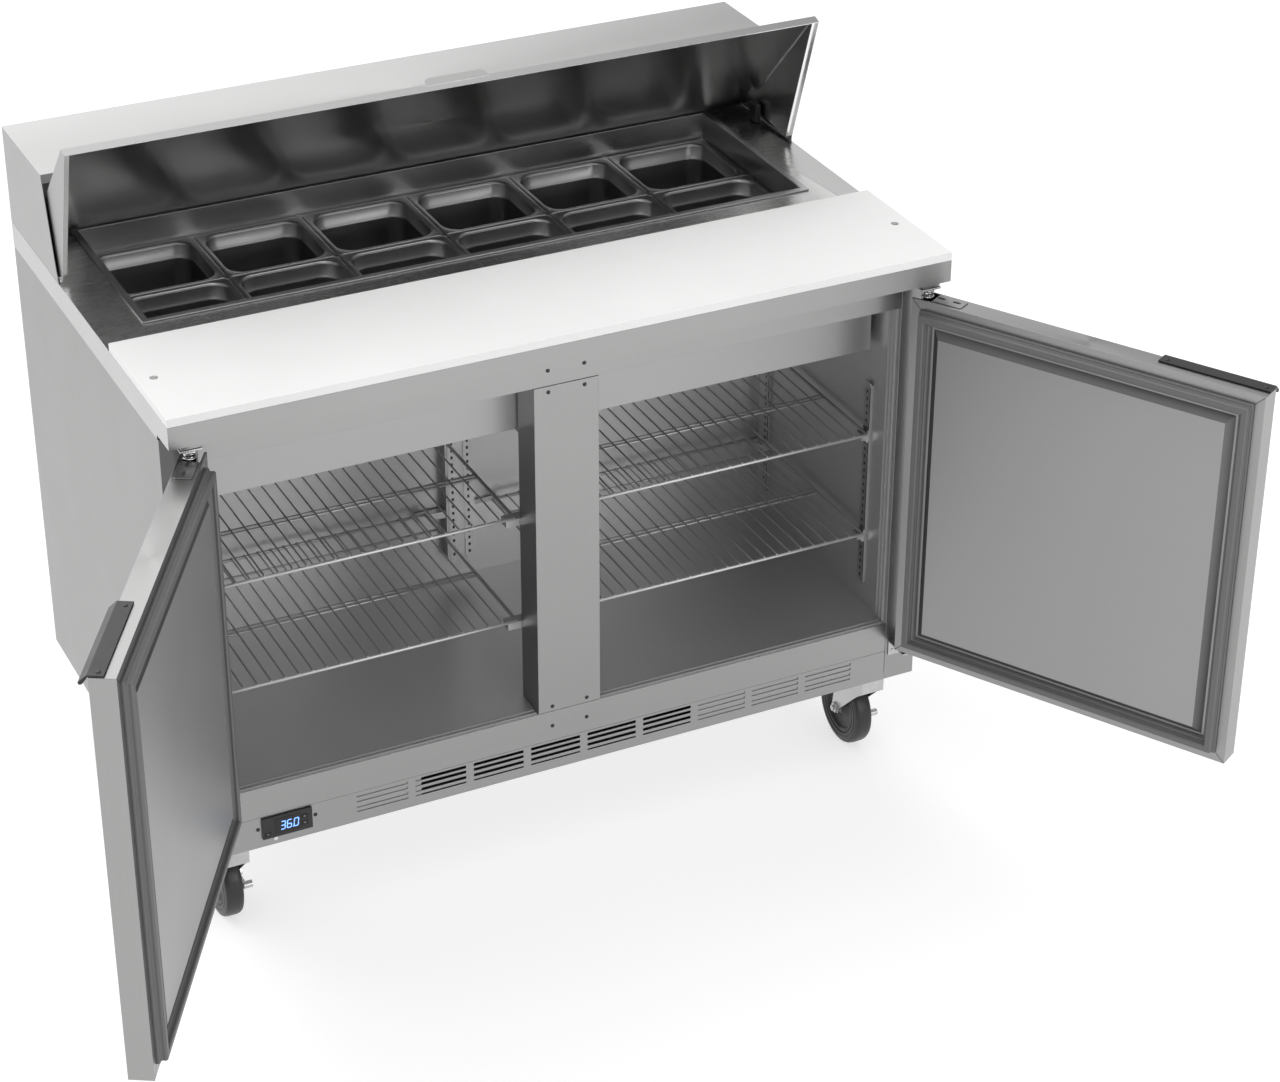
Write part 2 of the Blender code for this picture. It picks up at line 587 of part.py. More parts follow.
# ------------------------------------------------------------------ lid
lid_pivot = pivot("lid_pivot", (0.0, LID_PIVOT_Y, LID_PIVOT_Z),
                  (math.radians(-LID_OPEN_ANGLE), 0.0, 0.0), base)
lid_half = half - SHEET - LID_SIDE_CLEARANCE
tail_y = LID_TAIL_RADIUS * math.cos(math.radians(LID_TAIL_ANGLE))
tail_z = LID_TAIL_RADIUS * math.sin(math.radians(LID_TAIL_ANGLE))
slope = (tail_z - LID_FRONT_RISE) / (tail_y + LID_REACH)
lip_bottom = LID_FRONT_RISE - LID_LIP
lid_outline = [(-LID_REACH, lip_bottom)]
for corner in (-90, -62, -35, -10, 12):
    lid_outline.append((LID_EYE_RADIUS * math.cos(math.radians(corner)),
                        LID_EYE_RADIUS * math.sin(math.radians(corner))))
lid_outline += [(tail_y, tail_z), (-LID_REACH, LID_FRONT_RISE)]
lid = unit_object("lid", outline_solid("lid", lid_outline, 2 * lid_half, "YZ"), "outer_steel",
                  parent=lid_pivot)
drop = SHEET * math.sqrt(1.0 + slope * slope)
inner_front = -LID_REACH + SHEET
lid_inner = [(inner_front, -0.10), (0.25, -0.10), (0.25, LID_FRONT_RISE - drop + slope * (0.25 + LID_REACH)),
             (inner_front, LID_FRONT_RISE - drop + slope * SHEET)]
cut(lid, outline_solid("lid_space", lid_inner, 2 * (lid_half - SHEET), "YZ"), "space")
pull_top = LID_FRONT_RISE + LID_PULL_HEIGHT
pull_corner = LID_PULL_WIDTH / 2 - LID_PULL_RADIUS
pull_outline = [(LID_PULL_WIDTH / 2, LID_FRONT_RISE - 0.004)]
for side, start in ((1, 0), (-1, 90)):
    for step in range(5):
        a = math.radians(start + 22.5 * step)
        pull_outline.append((side * pull_corner + LID_PULL_RADIUS * math.cos(a),
                             pull_top - LID_PULL_RADIUS + LID_PULL_RADIUS * math.sin(a)))
pull_outline.append((-LID_PULL_WIDTH / 2, LID_FRONT_RISE - 0.004))
lid_pull = outline_solid("lid_pull", pull_outline, SHEET, "XZ")
lid_pull.transform(Matrix.Translation((0.0, -LID_REACH + SHEET / 2 - 0.0003, 0.0)))
join(lid, lid_pull, "pull")

# ------------------------------------------------------------------ doors
door_free = DOOR_WIDTH - DOOR_HINGE_MARGIN
door_outer = DOOR_INNER_OFFSET - DOOR_THICKNESS
gasket_face = cover_front - GAP - HINGE_Y


def door_set(side, tag):
    """One door with its gasket, its handle and its lower hinge bracket.  side is +1 at the right."""
    turn = math.radians(side * DOOR_OPEN_ANGLE)
    hinge = pivot("door_%s_hinge" % tag, (side * HINGE_X, HINGE_Y, 0.0), (0.0, 0.0, turn), base)

    def across(from_hinge, to_hinge):
        """Span in x between two distances from the hinge-side edge of the door."""
        return span(side * (DOOR_HINGE_MARGIN - from_hinge), side * (DOOR_HINGE_MARGIN - to_hinge))

    skin = unit_object("door_%s_skin" % tag, boxes("door_skin", [
        (*across(0.0, DOOR_WIDTH), door_outer, DOOR_INNER_OFFSET, DOOR_BOTTOM, DOOR_TOP)]),
        "front_steel", parent=hinge)
    x0, x1 = across(GASKET_INSET, DOOR_WIDTH - GASKET_INSET)
    cut(skin, boxes("door_mouth", [
        (x0, x1, door_outer + SHEET, DOOR_INNER_OFFSET + 0.01,
         DOOR_BOTTOM + GASKET_INSET, DOOR_TOP - GASKET_INSET)]), "mouth")
    x0, x1 = across(SHEET, DOOR_WIDTH - SHEET)
    cut(skin, boxes("door_hollow", [
        (x0, x1, door_outer + SHEET, DOOR_INNER_OFFSET - SHEET, DOOR_BOTTOM + SHEET,
         DOOR_TOP - SHEET)]), "hollow")

    x0, x1 = across(SHEET + GAP, DOOR_WIDTH - SHEET - GAP)
    liner = unit_object("door_%s_liner" % tag, boxes("door_liner", [
        (x0, x1, door_outer + SHEET + GAP, DOOR_INNER_OFFSET - SHEET - GAP,
         DOOR_BOTTOM + SHEET + GAP, DOOR_TOP - SHEET - GAP)]), "liner", parent=hinge)
    x0, x1 = across(GASKET_INSET + GAP, DOOR_WIDTH - GASKET_INSET - GAP)
    join(liner, boxes("liner_face", [
        (x0, x1, DOOR_INNER_OFFSET - 0.006, DOOR_INNER_OFFSET,
         DOOR_BOTTOM + GASKET_INSET + GAP, DOOR_TOP - GASKET_INSET - GAP)]), "face")
    x0, x1 = across(LINER_INSET, DOOR_WIDTH - LINER_INSET)
    z0, z1 = DOOR_BOTTOM + LINER_INSET, DOOR_TOP - LINER_INSET
    rise = LINER_RISE + 0.002
    slope_extra = LINER_SLOPE * rise / LINER_RISE
    bm = bmesh.new()
    bmesh.ops.create_cube(bm, size=1.0)
    for vert in bm.verts:
        raised = vert.co.y > 0
        inset = slope_extra if raised else 0.0
        vert.co = Vector((
            (x0 + x1) / 2 + math.copysign((x1 - x0) / 2 - inset, vert.co.x),
            DOOR_INNER_OFFSET - 0.002 + (rise if raised else 0.0),
            (z0 + z1) / 2 + math.copysign((z1 - z0) / 2 - inset, vert.co.z)))
    join(liner, mesh_from(bm, "liner_panel"), "raised")

    pocket = across(-0.01, 2 * DOOR_HINGE_MARGIN)
    pocket_corners = [(*pocket, door_outer + 0.0025, DOOR_INNER_OFFSET - 0.003,
                       DOOR_TOP - DOOR_POCKET, DOOR_TOP + 0.01)]
    cut(skin, boxes("skin_pocket", pocket_corners), "pocket")
    cut(liner, boxes("liner_pocket", pocket_corners), "pocket")
    bush_top = DOOR_TOP - 0.004
    bush_low = DOOR_TOP - DOOR_POCKET - 0.001
    join(liner, rods("bush", [((0, 0, (bush_top + bush_low) / 2), 0.0085, bush_top - bush_low, "Z")],
                     20), "bush")
    bore = HINGE_PIN_RADIUS + HINGE_PIN_CLEARANCE
    cut(liner, rods("hinge_bores", [
        ((0, 0, (bush_top + 0.01 + DOOR_TOP - DOOR_POCKET + 0.002) / 2), bore,
         bush_top + 0.01 - (DOOR_TOP - DOOR_POCKET + 0.002), "Z"),
        ((0, 0, DOOR_BOTTOM + 0.0025), bore, 0.045, "Z")], 16), "bores")
    cut(skin, rods("skin_bore", [((0, 0, DOOR_BOTTOM), bore, 0.02, "Z")], 16), "bore")

    x0, x1 = across(GASKET_INSET, DOOR_WIDTH - GASKET_INSET)
    z0, z1 = DOOR_BOTTOM + GASKET_INSET, DOOR_TOP - GASKET_INSET
    gasket = unit_object("door_%s_gasket" % tag, boxes("gasket", [
        (x0, x1, DOOR_INNER_OFFSET + GAP, gasket_face, z0, z1)]), "gasket", parent=hinge)
    w = GASKET_WIDTH
    cut(gasket, boxes("gasket_inner", [
        (x0 + w, x1 - w, DOOR_INNER_OFFSET - 0.01, gasket_face + 0.01, z0 + w, z1 - w)]), "inner")

    plate_in = DOOR_INNER_OFFSET - HANDLE_INSET
    low, high = DOOR_TOP + GAP, DOOR_TOP + GAP + HANDLE_THICKNESS
    out = door_outer - 0.0008
    profile = [(plate_in, low), (plate_in, high), (out - 0.001, high),
               (out - HANDLE_LIP_OUT, high - HANDLE_LIP_DROP), (out - HANDLE_LIP_OUT + 0.001, high - 0.0140),
               (out - HANDLE_LIP_OUT + 0.005, high - 0.0135), (out - 0.0008, low - 0.0022), (out, low)]
    s0, s1 = across(DOOR_WIDTH - HANDLE_LENGTH - 0.0007, DOOR_WIDTH - 0.0007)
    unit_object("door_%s_handle" % tag, outline_solid("handle", profile, s1 - s0, "YZ"),
                "black_plastic", parent=hinge, location=((s0 + s1) / 2, 0.0, 0.0))

    bracket_top = DOOR_BOTTOM - 0.0035
    bracket = unit_object("hinge_bracket_%s" % tag, boxes("hinge_bracket", [
        (side * HINGE_X - 0.017, side * HINGE_X + 0.017, HINGE_Y - 0.011, FACE_Y - GAP,
         bracket_top - 0.003, bracket_top)]), "zinc")
    join(bracket, boxes("bracket_tab", [
        (side * HINGE_X - 0.017, side * HINGE_X + 0.017, FACE_Y - GAP - 0.0025, FACE_Y - GAP,
         bracket_top - 0.028, bracket_top - 0.001)]), "tab")
    join(bracket, rods("bracket_pin", [
        ((side * HINGE_X, HINGE_Y, bracket_top + 0.009), HINGE_PIN_RADIUS, 0.021, "Z")], 16), "pin")


door_set(-1, "left")
door_set(1, "right")

# ------------------------------------------------------------------ shelves
for bay, side in (("left", -1), ("right", 1)):
    x_in = MULLION_HALF + 0.0045
    x_out = CAVITY_HALF - SHELF_SIDE_GAP
    wires = int((x_out - x_in - SHELF_WIRE) / SHELF_PITCH)
    pitch = (x_out - x_in - SHELF_WIRE) / wires
    for level, top in zip(("lower", "upper"), SHELF_TOPS):
        shelf = unit_object("shelf_%s_%s" % (bay, level), boxes("shelf", [
            (*span(side * x_in, side * x_out), SHELF_FRONT, SHELF_BACK, top - SHELF_WIRE, top)]),
            "wire")
        gaps = []
        for i in range(wires):
            a = x_in + SHELF_WIRE + i * pitch
            gaps.append((*span(side * a, side * (a + pitch - SHELF_WIRE)),
                         SHELF_FRONT + SHELF_WIRE, SHELF_BACK - SHELF_WIRE,
                         top - 2 * SHELF_WIRE, top + SHELF_WIRE))
        cut(shelf, boxes("shelf_gaps", gaps), "gaps")

# ------------------------------------------------------------------ temperature controller
bezel_front = FACE_Y - GAP - CONTROLLER_BEZEL
controller = unit_object("controller", boxes("controller", [
    (CONTROLLER_X - CONTROLLER_WIDTH / 2, CONTROLLER_X + CONTROLLER_WIDTH / 2,
     bezel_front, FACE_Y - GAP,
     CONTROLLER_Z - CONTROLLER_HEIGHT / 2, CONTROLLER_Z + CONTROLLER_HEIGHT / 2)]), "black_plastic")
join(controller, boxes("controller_body", [
    (CONTROLLER_X - CONTROLLER_WIDTH / 2 + 0.0035, CONTROLLER_X + CONTROLLER_WIDTH / 2 - 0.0035,
     bezel_front + 0.001, FACE_Y + 0.055,
     CONTROLLER_Z - CONTROLLER_HEIGHT / 2 + 0.0035, CONTROLLER_Z + CONTROLLER_HEIGHT / 2 - 0.0035)]),
    "body")
BUTTONS = (("up", 0.0270, 0.0058), ("down", 0.0270, -0.0058), ("set", -0.0310, -0.0105))
button_w, button_h = 0.0080, 0.0060
cut(controller, boxes("button_pockets", [
    (CONTROLLER_X + x - button_w / 2 - 0.0004, CONTROLLER_X + x + button_w / 2 + 0.0004,
     bezel_front - 0.01, bezel_front + 0.0052,
     CONTROLLER_Z + z - button_h / 2 - 0.0004, CONTROLLER_Z + z + button_h / 2 + 0.0004)
    for _, x, z in BUTTONS]), "pockets")
for label, x, z in BUTTONS:
    key = pivot("button_%s_slide" % label, (CONTROLLER_X + x, bezel_front, CONTROLLER_Z + z),
                parent=base)
    unit_object("button_" + label, boxes("button", [
        (-button_w / 2, button_w / 2, -0.0003, 0.0040, -button_h / 2, button_h / 2)]),
        "black_plastic", parent=key)

# ------------------------------------------------------------------ cooling machinery
evaporator_cover = unit_object("evaporator_cover", boxes("evaporator_cover", [
    (-EVAPORATOR_HALF, EVAPORATOR_HALF, EVAPORATOR_FRONT, EVAPORATOR_BACK,
     EVAPORATOR_BOTTOM, OPENING_TOP - GAP)]), "liner")
cut(evaporator_cover, boxes("evaporator_space", [
    (-EVAPORATOR_HALF + SHEET, EVAPORATOR_HALF - SHEET, EVAPORATOR_FRONT + SHEET,
     EVAPORATOR_BACK + 0.02, EVAPORATOR_BOTTOM + SHEET, OPENING_TOP + 0.02)]), "space")
coil_bottom = EVAPORATOR_BOTTOM + SHEET + GAP
evaporator_coil = unit_object("evaporator_coil", boxes("evaporator_coil", [
    (-0.40, 0.40, EVAPORATOR_FRONT + 0.030, EVAPORATOR_FRONT + 0.095, coil_bottom,
     coil_bottom + 0.075)]), "fin_aluminium")
cut(evaporator_coil, boxes("fin_gaps", [
    (-0.39 + i * 0.0487, -0.39 + i * 0.0487 + 0.034, EVAPORATOR_FRONT, EVAPORATOR_FRONT + 0.12,
     coil_bottom + 0.010, coil_bottom + 0.10) for i in range(16)]), "fins")

machine_floor = BODY_BOTTOM + SHEET + GAP


def turned(name, profile, steps=28):
    """A profile of (radius, height) from top to bottom, turned about Z with a Screw modifier."""
    mesh = bpy.data.meshes.new(name)
    mesh.from_pydata([(r, 0.0, z) for r, z in profile], [(i, i + 1) for i in range(len(profile) - 1)], [])
    return mesh, steps


def turned_object(name, profile, look, parent=None, location=(0.0, 0.0, 0.0), steps=28):
    mesh, steps = turned(name, profile, steps)
    obj = unit_object(name, mesh, look, parent, location)
    screw = obj.modifiers.new("turn", "SCREW")
    screw.axis = "Z"
    screw.steps = steps
    screw.render_steps = steps
    screw.use_merge_vertices = True
    screw.merge_threshold = 0.00001
    screw.use_smooth_shade = True
    return obj


compressor_y = (machine_front + BODY_BACK) / 2 + 0.004
compressor = turned_object("compressor", [
    (0.0, 0.190), (0.040, 0.186), (0.066, 0.168), (0.078, 0.135), (0.078, 0.108), (0.083, 0.104),
    (0.083, 0.096), (0.078, 0.092), (0.076, 0.045), (0.060, 0.018), (0.0, 0.014)],
    "copper_black", location=(-0.30, compressor_y, machine_floor), steps=28)
join(compressor, boxes("compressor_foot", [
    (-0.095, 0.095, -0.070, 0.070, 0.0, 0.016)]), "foot")

fan_x, fan_z = 0.16, machine_floor + 0.150
condenser_y0 = machine_front + 0.030
condenser = unit_object("condenser", boxes("condenser", [
    (fan_x - 0.150, fan_x + 0.150, condenser_y0, condenser_y0 + 0.045,
     machine_floor, machine_floor + 0.290)]), "fin_aluminium")
cut(condenser, boxes("condenser_gaps", [
    (fan_x - 0.138 + i * 0.0282, fan_x - 0.138 + i * 0.0282 + 0.020, condenser_y0 - 0.01,
     condenser_y0 + 0.06, machine_floor + 0.012, machine_floor + 0.278) for i in range(10)]), "gaps")
fan_pivot = pivot("fan_axis", (fan_x, condenser_y0 + 0.085, fan_z), parent=base)
fan = unit_object("condenser_fan", rods("fan_hub", [((0, 0, 0), 0.024, 0.026, "Y")], 20),
                  "black_plastic", parent=fan_pivot)
for blade in range(5):
    angle = 2 * math.pi * blade / 5
    bm = bmesh.new()
    place = (Matrix.Rotation(angle, 4, "Y") @ Matrix.Translation((0.066, 0.0, 0.0))
             @ Matrix.Rotation(math.radians(28), 4, "X") @ Matrix.Diagonal((0.100, 0.0022, 0.050, 1.0)))
    bmesh.ops.create_cube(bm, size=1.0, matrix=place)
    join(fan, mesh_from(bm, "fan_blade"), "blade%d" % blade)


# ------------------------------------------------------------------ casters
def wheel_profile():
    """Half section of the wheel from its outer side round to its inner side, as (radius, height)."""
    h = WHEEL_WIDTH / 2
    bore = AXLE_RADIUS + AXLE_CLEARANCE
    r = WHEEL_RADIUS
    return [(bore, h - 0.002), (0.015, h - 0.002), (0.018, h - 0.008), (0.040, h - 0.008),
            (0.044, h), (r - 0.004, h), (r, h - 0.005), (r, -h + 0.005), (r - 0.004, -h),
            (0.044, -h), (0.040, -h + 0.008), (0.018, -h + 0.008), (0.015, -h + 0.002),
            (bore, -h + 0.002), (bore, h - 0.002)]


def fork_solids(obj):
    """Side plates, shield, axle and swivel stud, all about the swivel axis with z down from the top."""
    inner = WHEEL_WIDTH / 2 + FORK_GAP
    outer = inner + FORK_SIDE
    top = -CASTER_PAD - GAP
    axle_z = WHEEL_RADIUS - BODY_BOTTOM
    cut(obj, boxes("fork_space", [(-inner, inner, -0.048 + FORK_SIDE, 0.2, -0.3, top - 0.006)]), "space")
    join(obj, rods("axle", [
        ((0.0015, CASTER_TRAIL, axle_z), AXLE_RADIUS, 2 * outer + 0.018, "X")], 16), "axle")
    join(obj, rods("nuts", [((-outer - 0.0015, CASTER_TRAIL, axle_z), 0.009, 0.005, "X"),
                            ((outer + 0.0085, CASTER_TRAIL, axle_z), 0.009, 0.005, "X")], 6), "nuts")
    join(obj, rods("stud", [((0, 0, 0.002), 0.0065, 0.018, "Z")], 20), "stud")


for y, row in zip(CASTER_YS, ("front", "rear")):
    for side, tag in ((-1, "left"), (1, "right")):
        name = "caster_%s_%s" % (row, tag)
        swivel = pivot(name + "_swivel", (side * CASTER_X, y, BODY_BOTTOM), parent=base)
        top = -CASTER_PAD - GAP
        axle_z = WHEEL_RADIUS - BODY_BOTTOM
        side_outline = [(-0.048, top), (-0.048, top - 0.022), (-0.030, top - 0.036),
                        (CASTER_TRAIL - 0.012, axle_z + 0.004), (CASTER_TRAIL - 0.006, axle_z - 0.009),
                        (CASTER_TRAIL + 0.006, axle_z - 0.009), (CASTER_TRAIL + 0.012, axle_z + 0.002),
                        (0.036, top - 0.020), (0.034, top)]
        fork_width = WHEEL_WIDTH + 2 * FORK_GAP + 2 * FORK_SIDE
        fork = unit_object(name + "_fork", outline_solid(name + "_fork", side_outline, fork_width, "YZ"),
                           "zinc", parent=swivel)
        fork_solids(fork)
        axle = pivot(name + "_axle", (0.0, CASTER_TRAIL, axle_z), (0.0, math.radians(90), 0.0), swivel)
        mesh, steps = turned(name + "_wheel", wheel_profile(), 32)
        wheel = unit_object(name + "_wheel", mesh, "tread", parent=axle)
        screw = wheel.modifiers.new("turn", "SCREW")
        screw.axis = "Z"
        screw.steps = steps
        screw.render_steps = steps
        screw.use_merge_vertices = True
        screw.merge_threshold = 0.00001
        screw.use_smooth_shade = True
        if row == "front":
            lever_axis = pivot(name + "_lever_axis", (0.0, CASTER_TRAIL, axle_z), parent=swivel)
            x0 = WHEEL_WIDTH / 2 + FORK_GAP + FORK_SIDE + GAP
            lever = unit_object(name + "_brake_lever", boxes("brake_lever", [
                (x0, x0 + 0.004, -LEVER_LENGTH, 0.0, -0.0055, 0.0055)]), "zinc", parent=lever_axis)
            join(lever, rods("lever_eye", [((x0 + 0.002, 0, 0), 0.0105, 0.004, "X"),
                                           ((x0 + 0.007, -LEVER_LENGTH, 0), 0.0058, 0.014, "X")], 20),
                 "eye")
            cut(lever, rods("lever_bore", [((x0, 0, 0), AXLE_RADIUS + AXLE_CLEARANCE, 0.06, "X")], 16),
                "bore")

# ------------------------------------------------------------------ origin
# The origin is on the floor, under the middle of the unit with its doors open.
bpy.context.view_layer.update()
graph = bpy.context.evaluated_depsgraph_get()
ys = []
for obj in unit_collection.objects:
    if obj.type == "MESH":
        shown = obj.evaluated_get(graph)
        ys.extend((obj.matrix_world @ vert.co).y for vert in shown.data.vertices)
base.location = (0.0, -(min(ys) + max(ys)) / 2, 0.0)
bpy.context.view_layer.update()
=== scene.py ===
"""Two-door refrigerated sandwich prep table: its looks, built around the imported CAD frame.

Metres, +Z up.  The unit stands on the floor and faces -Y.  "Front" distances are measured from the
worktop's front edge, and NOSE turns them into world y.
"""
import json
import math

import bmesh
import bpy
from mathutils import Matrix, Vector

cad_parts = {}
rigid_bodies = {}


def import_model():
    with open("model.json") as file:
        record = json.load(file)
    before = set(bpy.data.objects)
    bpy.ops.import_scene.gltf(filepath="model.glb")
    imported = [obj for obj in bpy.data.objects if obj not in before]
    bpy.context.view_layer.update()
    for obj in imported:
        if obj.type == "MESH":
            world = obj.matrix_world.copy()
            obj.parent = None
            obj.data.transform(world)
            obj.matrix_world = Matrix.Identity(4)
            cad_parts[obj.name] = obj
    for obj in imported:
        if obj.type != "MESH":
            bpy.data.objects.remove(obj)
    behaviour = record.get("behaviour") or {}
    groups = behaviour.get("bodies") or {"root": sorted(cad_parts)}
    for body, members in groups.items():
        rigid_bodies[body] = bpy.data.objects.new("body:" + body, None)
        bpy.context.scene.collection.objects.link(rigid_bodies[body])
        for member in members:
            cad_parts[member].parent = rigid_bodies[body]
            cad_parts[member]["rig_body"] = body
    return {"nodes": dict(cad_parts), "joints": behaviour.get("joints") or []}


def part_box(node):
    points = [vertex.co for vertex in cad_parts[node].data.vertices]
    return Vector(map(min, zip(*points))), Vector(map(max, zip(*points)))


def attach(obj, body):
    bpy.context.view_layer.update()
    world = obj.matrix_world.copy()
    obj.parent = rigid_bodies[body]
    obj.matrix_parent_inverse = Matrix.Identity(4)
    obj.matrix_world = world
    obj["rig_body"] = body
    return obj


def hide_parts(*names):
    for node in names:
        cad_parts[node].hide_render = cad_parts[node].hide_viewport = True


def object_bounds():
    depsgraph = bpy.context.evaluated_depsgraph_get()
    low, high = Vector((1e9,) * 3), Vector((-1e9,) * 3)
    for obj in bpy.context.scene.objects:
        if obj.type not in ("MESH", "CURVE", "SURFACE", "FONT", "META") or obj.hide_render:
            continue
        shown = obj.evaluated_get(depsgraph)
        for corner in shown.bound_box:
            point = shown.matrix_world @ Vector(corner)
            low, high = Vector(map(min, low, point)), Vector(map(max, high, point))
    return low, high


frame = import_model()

CAD_BOX = [list(corner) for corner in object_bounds()]
NODES = frame["nodes"]
JOINTS = {joint["name"]: joint for joint in frame["joints"]}
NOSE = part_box("worktop")[0].y
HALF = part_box("worktop")[1].x
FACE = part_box("top_rail")[0].y                  # plane of the face frame
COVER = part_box("mullion_cover")[0].y            # front of the mullion cover
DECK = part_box("cutting_board")[0].z
SIDES = ((-1, "left"), (1, "right"))
DOOR_OPENING = 120.0                            # degrees from shut to the pose that the frame shows
PILASTER_DISTANCES = (0.122, 0.450)             # shelf uprights, from the worktop's front edge
STRIP_LOW, STRIP_HIGH = 0.309, 0.662
SLOT_PLATE_HALF = 0.0030
CLIP_DROP = 0.0128


# ------------------------------------------------------------------ material tools
class Look:
    """A Principled material whose colour, roughness and relief come from procedural noise."""

    def __init__(self, name, metallic=0.0, specular=0.5):
        self.mat = bpy.data.materials.new(name)
        self.mat.use_nodes = True
        self.tree = self.mat.node_tree
        self.shader = self.tree.nodes["Principled BSDF"]
        self.shader.inputs["Metallic"].default_value = metallic
        self.shader.inputs["Specular IOR Level"].default_value = specular
        self.coordinates = self.tree.nodes.new("ShaderNodeTexCoord")
        self.normal = None

    def space(self, scale):
        """Object coordinates, scaled: large numbers across the grain, small ones along it."""
        mapping = self.tree.nodes.new("ShaderNodeMapping")
        mapping.inputs["Scale"].default_value = scale
        self.tree.links.new(self.coordinates.outputs["Object"], mapping.inputs["Vector"])
        return mapping.outputs["Vector"]

    def noise(self, scale, detail=3.0, roughness=0.55, stretch=(1.0, 1.0, 1.0)):
        node = self.tree.nodes.new("ShaderNodeTexNoise")
        node.inputs["Scale"].default_value = scale
        node.inputs["Detail"].default_value = detail
        node.inputs["Roughness"].default_value = roughness
        self.tree.links.new(self.space(stretch), node.inputs["Vector"])
        return node.outputs["Fac"]

    def remap(self, value, low, high, start=0.3, stop=0.7):
        node = self.tree.nodes.new("ShaderNodeMapRange")
        self.tree.links.new(value, node.inputs["Value"])
        for socket, number in (("From Min", start), ("From Max", stop), ("To Min", low),
                               ("To Max", high)):
            node.inputs[socket].default_value = number
        return node.outputs["Result"]

    def total(self, a, b, operation="ADD"):
        node = self.tree.nodes.new("ShaderNodeMath")
        node.operation = operation
        self.tree.links.new(a, node.inputs[0])
        self.tree.links.new(b, node.inputs[1])
        return node.outputs["Value"]

    def shade(self, factor, dark, light):
        """A colour that runs from dark to light as factor goes from 0 to 1."""
        node = self.tree.nodes.new("ShaderNodeMix")
        node.data_type = "RGBA"
        self.tree.links.new(factor, node.inputs["Factor"])
        node.inputs["A"].default_value = (*dark, 1.0)
        node.inputs["B"].default_value = (*light, 1.0)
        return node.outputs["Result"]

    def colour(self, socket):
        self.tree.links.new(socket, self.shader.inputs["Base Color"])

    def rough(self, socket):
        self.tree.links.new(socket, self.shader.inputs["Roughness"])

    def relief(self, height, distance, strength=1.0):
        node = self.tree.nodes.new("ShaderNodeBump")
        node.inputs["Distance"].default_value = distance
        node.inputs["Strength"].default_value = strength
        self.tree.links.new(height, node.inputs["Height"])
        if self.normal is not None:
            self.tree.links.new(self.normal, node.inputs["Normal"])
        self.normal = node.outputs["Normal"]
        self.tree.links.new(self.normal, self.shader.inputs["Normal"])


GRAIN = {}                                      # brushing direction of each brushed look


def grey(value, warmth=0.0):
    return (value * (1.0 + warmth), value, value * (1.0 - warmth))


def brushed(name, value, roughness, grain, streak=0.010, cloud=0.02, relief=0.00001):
    """Brushed stainless sheet with its grain along one axis, faint clouding and light wear."""
    look = Look(name, metallic=1.0)
    look.shader.inputs["Anisotropic"].default_value = 0.6
    GRAIN[name] = Vector([float(letter == grain) for letter in "XYZ"])
    stretch = [1.0, 1.0, 1.0]
    stretch["XYZ".index(grain)] = 0.012
    fine = look.noise(1400.0, 2.0, stretch=stretch)
    broad = look.noise(240.0, 2.0, stretch=stretch)
    clouds = look.noise(2.3, 3.0)
    smudges = look.noise(11.0, 4.0, 0.65)
    tone = look.total(look.remap(fine, 0.0, 0.45), look.remap(clouds, 0.0, 0.30))
    tone = look.total(tone, look.remap(broad, 0.0, 0.25))
    spread = streak + cloud
    look.colour(look.shade(tone, grey(value * (1 - spread), 0.004), grey(value * (1 + spread), 0.004)))
    rough = look.total(look.remap(fine, roughness - 0.012, roughness + 0.012),
                       look.remap(smudges, -0.012, 0.018))
    look.rough(rough)
    look.relief(fine, relief, 0.25)
    look.relief(clouds, 0.0010, 0.04)
    return look.mat


def polished(name, value, roughness, cloud=0.06, ripple=0.0010):
    """Drawn or rolled stainless without a clear grain, slightly uneven."""
    look = Look(name, metallic=1.0)
    clouds = look.noise(6.0, 4.0)
    fine = look.noise(240.0, 3.0)
    tone = look.total(look.remap(clouds, 0.0, 0.6), look.remap(fine, 0.0, 0.4))
    look.colour(look.shade(tone, grey(value * (1 - cloud)), grey(value * (1 + cloud))))
    look.rough(look.total(look.remap(clouds, roughness - 0.04, roughness + 0.04),
                          look.remap(fine, -0.02, 0.02)))
    if ripple:
        look.relief(clouds, ripple, 0.10)
    return look.mat


def coated(name, value, roughness, metallic=0.0, grain=260.0, speckle=0.10, depth=0.0002):
    """Painted, moulded or stucco-embossed surface with a fine all-over texture."""
    look = Look(name, metallic=metallic)
    speck = look.noise(grain, 3.0, 0.6)
    clouds = look.noise(3.0, 4.0)
    tone = look.total(look.remap(speck, 0.0, 0.6), look.remap(clouds, 0.0, 0.4))
    look.colour(look.shade(tone, grey(value * (1 - speckle)), grey(value * (1 + speckle))))
    look.rough(look.total(look.remap(speck, roughness - 0.05, roughness + 0.05),
                          look.remap(clouds, -0.03, 0.04)))
    look.relief(speck, depth, 0.25)
    return look.mat


def moulded(name, value, roughness, grain=900.0, tint=(1.0, 1.0, 1.0)):
    """Black or grey moulded plastic or rubber: a fine grain, and random patches a little paler."""
    look = Look(name, specular=0.45)
    fine = look.noise(grain, 2.0)
    rubbed = look.noise(30.0, 4.0, 0.7)
    tone = look.total(look.remap(fine, 0.0, 0.5), look.remap(rubbed, 0.0, 0.5, 0.4, 0.75))
    dark = tuple(value * 0.75 * t for t in tint)
    light = tuple(value * 1.5 * t for t in tint)
    look.colour(look.shade(tone, dark, light))
    look.rough(look.total(look.remap(fine, roughness - 0.05, roughness + 0.05),
                          look.remap(rubbed, -0.04, 0.06)))
    look.relief(fine, 0.00006, 0.5)
    return look.mat


